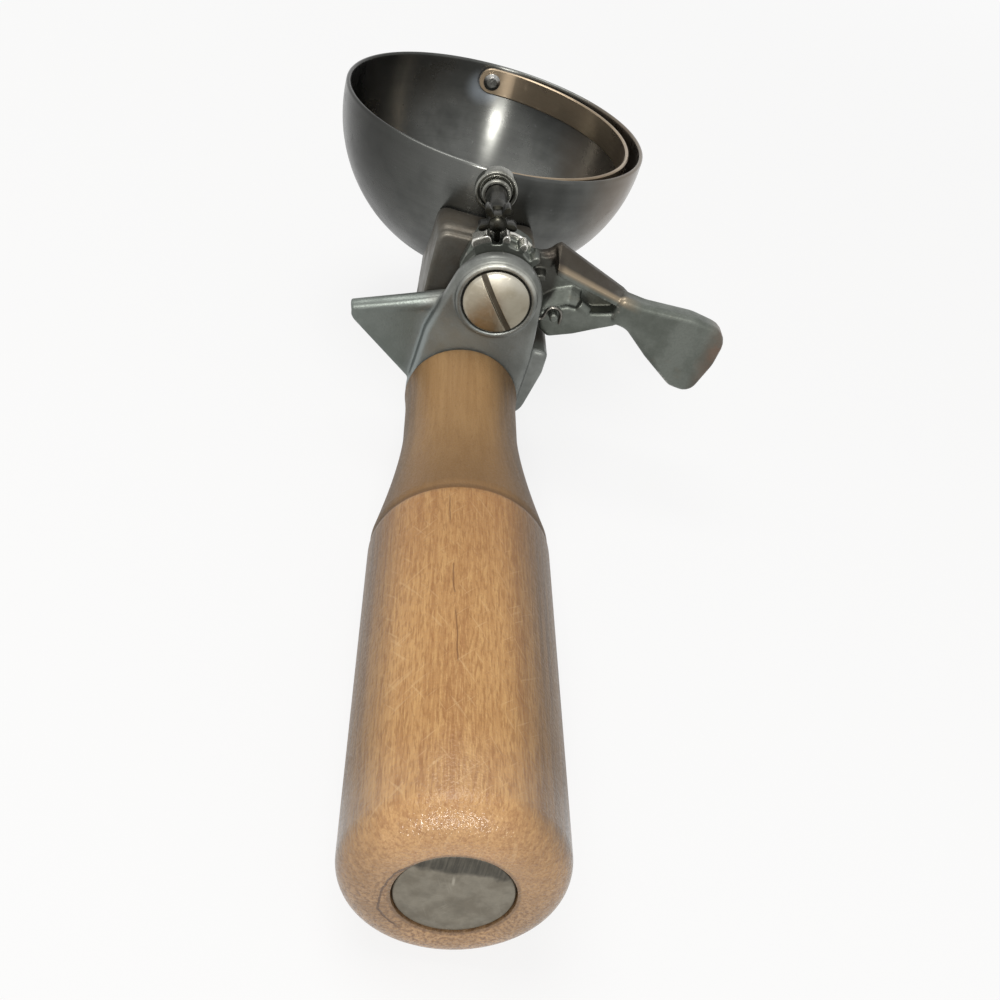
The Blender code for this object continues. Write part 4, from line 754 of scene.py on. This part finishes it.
def lever_marks(cast, colour, rough, dirt):
    """Teeth polished by the pinion, a painted highlight along the flange's front edge with painted shade
    behind it, painted shade by the boss and under the flange, and brown at the paddle's end.
    """
    x, y, z = cast.split()
    radius = cast.distance((x, z), end_on(SCREW_LINE))
    teeth = cast.product(cast.ramp(radius, 7.8 * MM, 8.4 * MM), cast.fall(y, 119.5 * MM, 119.9 * MM),
                         cast.fall(x, 5.6 * MM, 7.4 * MM))
    colour = cast.painted(colour, teeth, 0.85, tone(214, 212, 204))
    rough = cast.mix(teeth, rough, (0.16, 0.16, 0.16))
    # The underside of the top flange slopes down to the right.
    underside = cast.maths("MULTIPLY_ADD", cast.maths("SUBTRACT", x, SCREW_LINE[0]), -0.27,
                           SCREW_LINE[2] + 8.1 * MM)
    over = cast.maths("SUBTRACT", z, underside)
    flange = cast.product(cast.ramp(over, -0.8 * MM, 0.2 * MM), cast.fall(x, 23.5 * MM, 30.0 * MM),
                          cast.ramp(x, 7.5 * MM, 9.5 * MM))
    # A painted highlight along the flange's front edge, and painted shade on its far part.
    tan = cast.mix(cast.ramp(y, 116.6 * MM, 117.6 * MM), tone(146, 130, 108), tone(62, 54, 46))
    colour = cast.painted(colour, flange, 0.85, tan)
    shade = cast.product(cast.band(x, 7.0 * MM, 13.5 * MM, 1.5 * MM), cast.ramp(y, 115.5 * MM, 116.5 * MM),
                         cast.band(z, 19.0 * MM, 29.2 * MM, 1.5 * MM))
    colour = cast.painted(colour, shade, 0.70, tone(50, 46, 42))
    # Painted shade in the hollow under the top flange.
    shade_under_flange = cast.product(cast.band(x, 18.0 * MM, 26.2 * MM, 2.0 * MM), cast.ramp(y, 118.8 * MM, 119.7 * MM),
                          cast.fall(over, -1.2 * MM, 0.0))
    colour = cast.painted(colour, shade_under_flange, 0.65, tone(72, 68, 56))
    end = cast.product(cast.ramp(x, 42.5 * MM, 46.8 * MM), cast.ramp(dirt, 0.35, 0.65, 0.4, 0.9))
    return cast.mix(end, colour, tone(112, 90, 76)), rough


def plated(name, light, dark, roughness, seed, scratches=0.18, extra=None):
    """Nickel or bright steel: small scratches in three directions and a soft tarnish."""
    metal = Shader(name, light, roughness, 1.0)
    tarnish = metal.noise(300.0, 3.0, 0.6, (seed, 0.0, 0.0))
    colour = metal.mix(metal.ramp(tarnish, 0.38, 0.66), light, dark)
    scratch = 0.0
    for index, turn in enumerate((0.4, 1.5, 2.5)):
        way = metal.turned((0.0, turn, 0.0))
        fine = metal.noise((3600.0, 1.0, 190.0), 1.0, 0.5, (seed * 2.0 + index, 0.0, seed), way)
        scratch = metal.maths("MAXIMUM", scratch, metal.ramp(fine, 0.64, 0.70))
    colour = metal.painted(colour, scratch, scratches, tone(205, 202, 192))
    rough = metal.ramp(tarnish, 0.36, 0.68, roughness - 0.06, roughness + 0.10)
    rough = metal.maths("MULTIPLY_ADD", scratch, 0.10, rough)
    if extra is not None:
        colour, rough = extra(metal, colour, rough, tarnish)
    metal.wire("Base Color", colour)
    metal.wire("Roughness", rough)
    height = metal.weighted((scratch, -0.4), (tarnish, 0.6))
    metal.wire("Normal", metal.bump(height, 0.18, 0.07 * MM, bevel=0.1 * MM))
    return metal


def screw_marks(metal, colour, rough, tarnish):
    """A faint tan stain low on the left of the screw's head, darker on the right, and a painted highlight
    above.
    """
    x, _, z = metal.split()
    left = metal.maths("SUBTRACT", SCREW_LINE[0], x)
    low = metal.maths("SUBTRACT", SCREW_LINE[2], z)
    stain = metal.weighted((left, 0.55), (low, 1.0), (tarnish, 4.0 * MM))
    colour = metal.painted(colour, metal.ramp(stain, 3.6 * MM, 8.4 * MM), 0.14, tone(158, 142, 116))
    colour = metal.mix(metal.ramp(left, -4.0 * MM, 1.0 * MM, 0.55, 0.0), colour, tone(128, 122, 106))
    # A painted highlight over the top of the head.
    high = metal.weighted((low, -1.0), (tarnish, -3.0 * MM))
    colour = metal.painted(colour, metal.ramp(high, 0.6 * MM, 3.6 * MM), 0.35, tone(214, 212, 202))
    # The slot is painted dark.
    across = metal.weighted((left, math.sin(SLOT_ANGLE)), (low, math.cos(SLOT_ANGLE)))
    slot = metal.fall(metal.away(across, 0.0), 0.46 * MM, 0.56 * MM)
    colour = metal.painted(colour, slot, 0.85, tone(62, 54, 44))
    return colour, metal.maths("MULTIPLY_ADD", slot, 0.3, rough)


def cap_marks(metal, colour, rough, tarnish):
    """A painted dark reflection along the top of the cap, a faint upright scratch under it, and blotches."""
    x, _, z = metal.split()
    streaky = metal.noise((2400.0, 900.0, 160.0), 3.0, 0.6, (2.0, 0.0, 4.0))
    # A painted dark reflection in a band along the top of the cap.
    band = metal.product(metal.ramp(metal.weighted((tarnish, 2.6 * MM), (z, 1.0)), 5.2 * MM, 6.2 * MM),
                         metal.ramp(streaky, 0.30, 0.62, 0.62, 0.92))
    colour = metal.mix(band, colour, tone(72, 70, 65))
    line = metal.away(metal.weighted((x, 1.0), (z, 0.12)), -0.4 * MM)
    mark = metal.product(metal.fall(line, 0.06 * MM, 0.26 * MM), metal.band(z, 1.6 * MM, 4.2 * MM, 1.2 * MM))
    colour = metal.painted(colour, mark, 0.40, tone(206, 200, 186))
    blotch = metal.noise(420.0, 4.0, 0.68, (1.0, 7.0, 2.0))
    colour = metal.stained(colour, blotch, 0.44, 0.66, 0.30, tone(110, 106, 96))
    return colour, metal.maths("MULTIPLY_ADD", blotch, 0.12, rough)


def spun_steel(name, light, dark, roughness, extra=None):
    """Satin steel with the fine rings of spinning round the bowl's upright line, and wiping marks."""
    steel = Shader(name, light, roughness, 1.0)
    x, y, z = steel.split()
    centre = BOWL_CENTRE[:2]
    turn = steel.angle(x, y, centre)
    rings = steel.joined(steel.distance((x, y), centre), steel.product(turn, 0.6 * MM), z)
    fine = steel.noise((5200.0, 900.0, 5200.0), 3.0, 0.6, vector=rings)
    broad = steel.noise((420.0, 60.0, 420.0), 3.0, 0.55, vector=rings)
    smear = steel.noise(70.0, 4.0, 0.6, (2.0, 1.0, 0.0))
    water = steel.noise(520.0, 3.0, 0.6, (6.0, 1.0, 2.0))
    colour = steel.mix(steel.ramp(smear, 0.34, 0.68), light, dark)
    colour = steel.stained(colour, fine, 0.38, 0.66, 0.24, dark)
    colour = steel.stained(colour, broad, 0.40, 0.66, 0.18, light)
    colour = steel.stained(colour, water, 0.66, 0.76, 0.22, tone(140, 143, 144))
    if extra is not None:
        colour = extra(steel, colour, smear)
    steel.wire("Base Color", colour)
    rough = steel.ramp(smear, 0.3, 0.7, roughness - 0.04, roughness + 0.08)
    steel.wire("Roughness", steel.maths("MULTIPLY_ADD", steel.ramp(water, 0.62, 0.74), 0.12, rough))
    steel.set("Anisotropic", 0.85)
    steel.set("Anisotropic Rotation", 0.25)
    steel.wire("Normal", steel.bump(steel.weighted((broad, 0.7), (fine, 1.0)), 0.14, 0.05 * MM))
    return steel


def bowl_marks(steel, colour, smear):
    """A painted tan reflection on the lever's side, painted shade on the left side, and a painted pale
    highlight by the far pivot.
    """
    x, y, z = steel.split()
    # A painted warm reflection on the lever's side of the bowl.
    tan_reflection = steel.ramp(steel.weighted((smear, 6.0 * MM), (x, 1.0)), 18.0 * MM, 30.0 * MM)
    colour = steel.painted(colour, tan_reflection, 0.46, tone(136, 118, 98))
    # The left side is darkened with painted shade.
    dull = steel.fall(steel.weighted((smear, 10.0 * MM), (x, 1.0)), -24.0 * MM, -2.0 * MM)
    colour = steel.painted(colour, dull, 0.80, tone(48, 48, 46))
    # A painted pale bluish highlight by the far pivot.
    glint_spot = (SHAFT_LINE[0] - 1.5 * MM, BOWL_CENTRE[1] + BOWL_RADIUS - 3.0 * MM, SHAFT_LINE[2] - 2.0 * MM)
    near = steel.product(steel.fall(steel.distance((x, y, z), glint_spot), 1.2 * MM, 5.0 * MM),
                         steel.ramp(smear, 0.3, 0.6, 0.5, 0.9))
    return steel.mix(near, colour, tone(168, 176, 184))


def dark_steel(name, light, dark, roughness, seed, wear=0.35):
    """Turned steel, darkened in use, with marks round the shaft's line."""
    steel = Shader(name, light, roughness, 1.0)
    x, y, z = steel.split()
    centre = end_on(SHAFT_LINE)
    turn = steel.angle(x, z, centre)
    rings = steel.joined(steel.distance((x, z), centre), y, steel.product(turn, 0.4 * MM))
    fine = steel.noise((3000.0, 3600.0, 500.0), 3.0, 0.6, (seed, 0.0, 0.0), rings)
    stain = steel.noise(420.0, 3.0, 0.6, (seed, seed, 0.0))
    colour = steel.mix(steel.ramp(stain, 0.36, 0.66), light, dark)
    colour = steel.stained(colour, fine, 0.45, 0.70, 0.35, light)
    colour = steel.painted(colour, steel.worn_edge(0.55, 0.66), wear, tone(150, 148, 140))
    steel.wire("Base Color", colour)
    steel.wire("Roughness", steel.ramp(stain, 0.3, 0.7, roughness - 0.05, roughness + 0.10))
    steel.wire("Normal", steel.bump(fine, 0.2, 0.05 * MM, bevel=0.1 * MM))
    return steel


def wound_spring():
    """The return spring in round wire, one leg in the frame and the other on the lever: a smoothed copy of
    its node, attached to no body.
    """
    steel = dark_steel("spring_steel", tone(126, 124, 118), tone(86, 84, 78), 0.34, 6.0)
    mesh = worked(
        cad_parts["return_spring"].data.copy(),
        ("WELD", {"merge_threshold": 0.001 * MM}),
        ("SUBSURF", {"levels": 2, "render_levels": 2}))
    coat(mesh, steel)
    mesh.shade_smooth()
    thing = added("wound_spring", mesh)
    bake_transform(thing)
    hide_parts("return_spring")


WOOD = varnished_wood()
CAST = cast_metal("cast_aluminium", tone(122, 124, 120), tone(100, 102, 98), tone(110, 100, 86), 1.0,
                  tone(160, 163, 160), frame_marks)
LEVER = cast_metal("lever_casting", tone(110, 114, 108), tone(88, 92, 86), tone(104, 92, 76), 4.0,
                   tone(168, 164, 156), lever_marks)
SCREW = plated("screw_nickel", tone(178, 171, 154), tone(160, 153, 136), 0.36, 2.0, 0.10, screw_marks)
CAP = plated("cap_steel", tone(140, 134, 121), tone(124, 118, 106), 0.46, 5.0, 0.08, cap_marks)
BUSHING = plated("bushing_nickel", tone(138, 138, 131), tone(106, 106, 100), 0.27, 7.0)
BOWL = spun_steel("bowl_steel", tone(104, 105, 102), tone(78, 79, 77), 0.27, bowl_marks)
# The blade's steel is given a tan colour: a painted warm reflection.
BLADE = spun_steel("blade_steel", tone(164, 148, 126), tone(138, 122, 102), 0.30)
SHAFT = dark_steel("shaft_steel", tone(50, 49, 43), tone(28, 28, 25), 0.30, 3.0, 0.12)
RIVET = plated("rivet_steel", tone(150, 150, 148), tone(120, 118, 112), 0.30, 9.0)

stand_for("handle", "frame", handle_mesh(), WOOD, "turned_handle")
stand_for("end_cap", "frame", cap_mesh(), CAP, "cap_disc")
stand_for("frame_casting", "frame", cast_mesh("frame_casting", 0.24 * MM, 7), CAST, "moulded_frame", math.pi)
stand_for("lever", "lever", cast_mesh("lever", 0.17 * MM, 6), LEVER, "moulded_lever", math.pi)
stand_for("pivot_screw", "frame", screw_mesh(), SCREW, "slotted_screw")
stand_for("bowl", "frame", bowl_mesh(), BOWL, "spun_bowl")
stand_for("shaft_bushing", "frame", bushing_mesh(), BUSHING, "flanged_bushing")
stand_for("scraper_blade", "scraper", blade_mesh(), BLADE, "bent_blade")
stand_for("scraper_shaft", "scraper", shaft_mesh(), SHAFT, "geared_shaft")
wound_spring()
coat(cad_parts["tang_rod"].data,
     dark_steel("rod_steel", tone(148, 148, 148), tone(124, 124, 124), 0.42, 8.0))
for rivet in ("bowl_rivet_left", "bowl_rivet_right", "far_pivot_rivet"):
    coat(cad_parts[rivet].data, RIVET)


def seen_rays(tree):
    """One for the rays that show the background: from the camera, in gloss and through glass."""
    rays = new_node(tree, "ShaderNodeLightPath").outputs
    total = rays["Is Camera Ray"]
    for name in ("Is Glossy Ray", "Is Transmission Ray"):
        more = new_node(tree, "ShaderNodeMath", {0: total, 1: rays[name]}, operation="MAXIMUM")
        total = more.outputs["Value"]
    return total


def pale_floor():
    """The floor, which fades into the white of the room away from the object."""
    side = 3.0
    height = cad_box[0][2] - 0.2 * MM
    mesh = bpy.data.meshes.new("floor")
    corners = [(-side, -side), (side, -side), (side, side), (-side, side)]
    mesh.from_pydata([(x, y, height) for x, y in corners], [], [(0, 1, 2, 3)])
    floor = added("floor", mesh)
    material = bpy.data.materials.new("floor_white")
    material.use_nodes = True
    tree = material.node_tree
    tree.nodes.clear()
    diffuse = new_node(tree, "ShaderNodeBsdfDiffuse", {"Color": (0.80, 0.80, 0.80, 1.0)})
    glow = new_node(tree, "ShaderNodeEmission", {"Strength": 1.0})
    place = new_node(tree, "ShaderNodeNewGeometry")
    away = new_node(tree, "ShaderNodeVectorMath", {0: place.outputs["Position"]}, operation="LENGTH")
    pale = new_node(tree, "ShaderNodeMapRange", {
        "Value": away.outputs["Value"], "From Min": 0.25, "From Max": 1.4, "To Min": 0.82, "To Max": 1.0})
    share = new_node(tree, "ShaderNodeMath", {0: seen_rays(tree), 1: pale.outputs["Result"]},
                     operation="MULTIPLY")
    surface = new_node(tree, "ShaderNodeMixShader", {
        0: share.outputs["Value"], 1: diffuse.outputs["BSDF"], 2: glow.outputs["Emission"]})
    new_node(tree, "ShaderNodeOutputMaterial", {"Surface": surface.outputs["Shader"]})
    mesh.materials.append(material)


def room():
    """A soft, slightly warm light all round, which is seen as plain white."""
    world = bpy.data.worlds.new("studio")
    bpy.context.scene.world = world
    world.use_nodes = True
    tree = world.node_tree
    tree.nodes.clear()
    lit = new_node(tree, "ShaderNodeBackground", {"Color": (1.0, 0.985, 0.965, 1.0), "Strength": 0.30})
    white = new_node(tree, "ShaderNodeBackground", {"Color": (1.0, 1.0, 1.0, 1.0), "Strength": 1.0})
    blend = new_node(tree, "ShaderNodeMixShader", {
        0: seen_rays(tree), 1: lit.outputs["Background"], 2: white.outputs["Background"]})
    new_node(tree, "ShaderNodeOutputWorld", {"Surface": blend.outputs["Shader"]})


def lamp(name, place, target, size, power, colour):
    """A round soft lamp that points at a target."""
    light = bpy.data.lights.new(name, "AREA")
    light.shape = "DISK"
    light.size = size
    light.energy = power
    light.color = colour
    thing = added(name, light)
    thing.location = place
    way = Vector(target) - Vector(place)
    thing.rotation_euler = way.to_track_quat("-Z", "Y").to_euler()


def camera():
    """The photograph's viewpoint: over and behind the butt, a little to the left, tilted clockwise."""
    lens = bpy.data.cameras.new("camera")
    lens.sensor_width = 36.0
    lens.lens = 43.2
    lens.clip_start = 0.005
    lens.clip_end = 20.0
    thing = added("camera", lens)
    right = Vector((0.9666, -0.0188, 0.2556))
    up = Vector((-0.1920, 0.6071, 0.7711))
    forward = Vector((0.1697, 0.7944, -0.5832))
    place = (-0.02779, -0.08427, 0.12013)
    turn = Matrix((right, up, -forward)).transposed().to_4x4()
    thing.matrix_world = Matrix.Translation(place) @ turn
    bpy.context.scene.camera = thing


pale_floor()
room()
lamp("key", (-0.10, -0.75, 0.42), (0.0, 0.05, 0.0), 0.16, 5.6, (1.0, 0.975, 0.94))
lamp("top", (-0.25, 0.20, 0.95), (0.0, 0.08, 0.0), 0.70, 4.5, (1.0, 0.985, 0.96))
camera()
bpy.context.scene.view_settings.view_transform = "Standard"
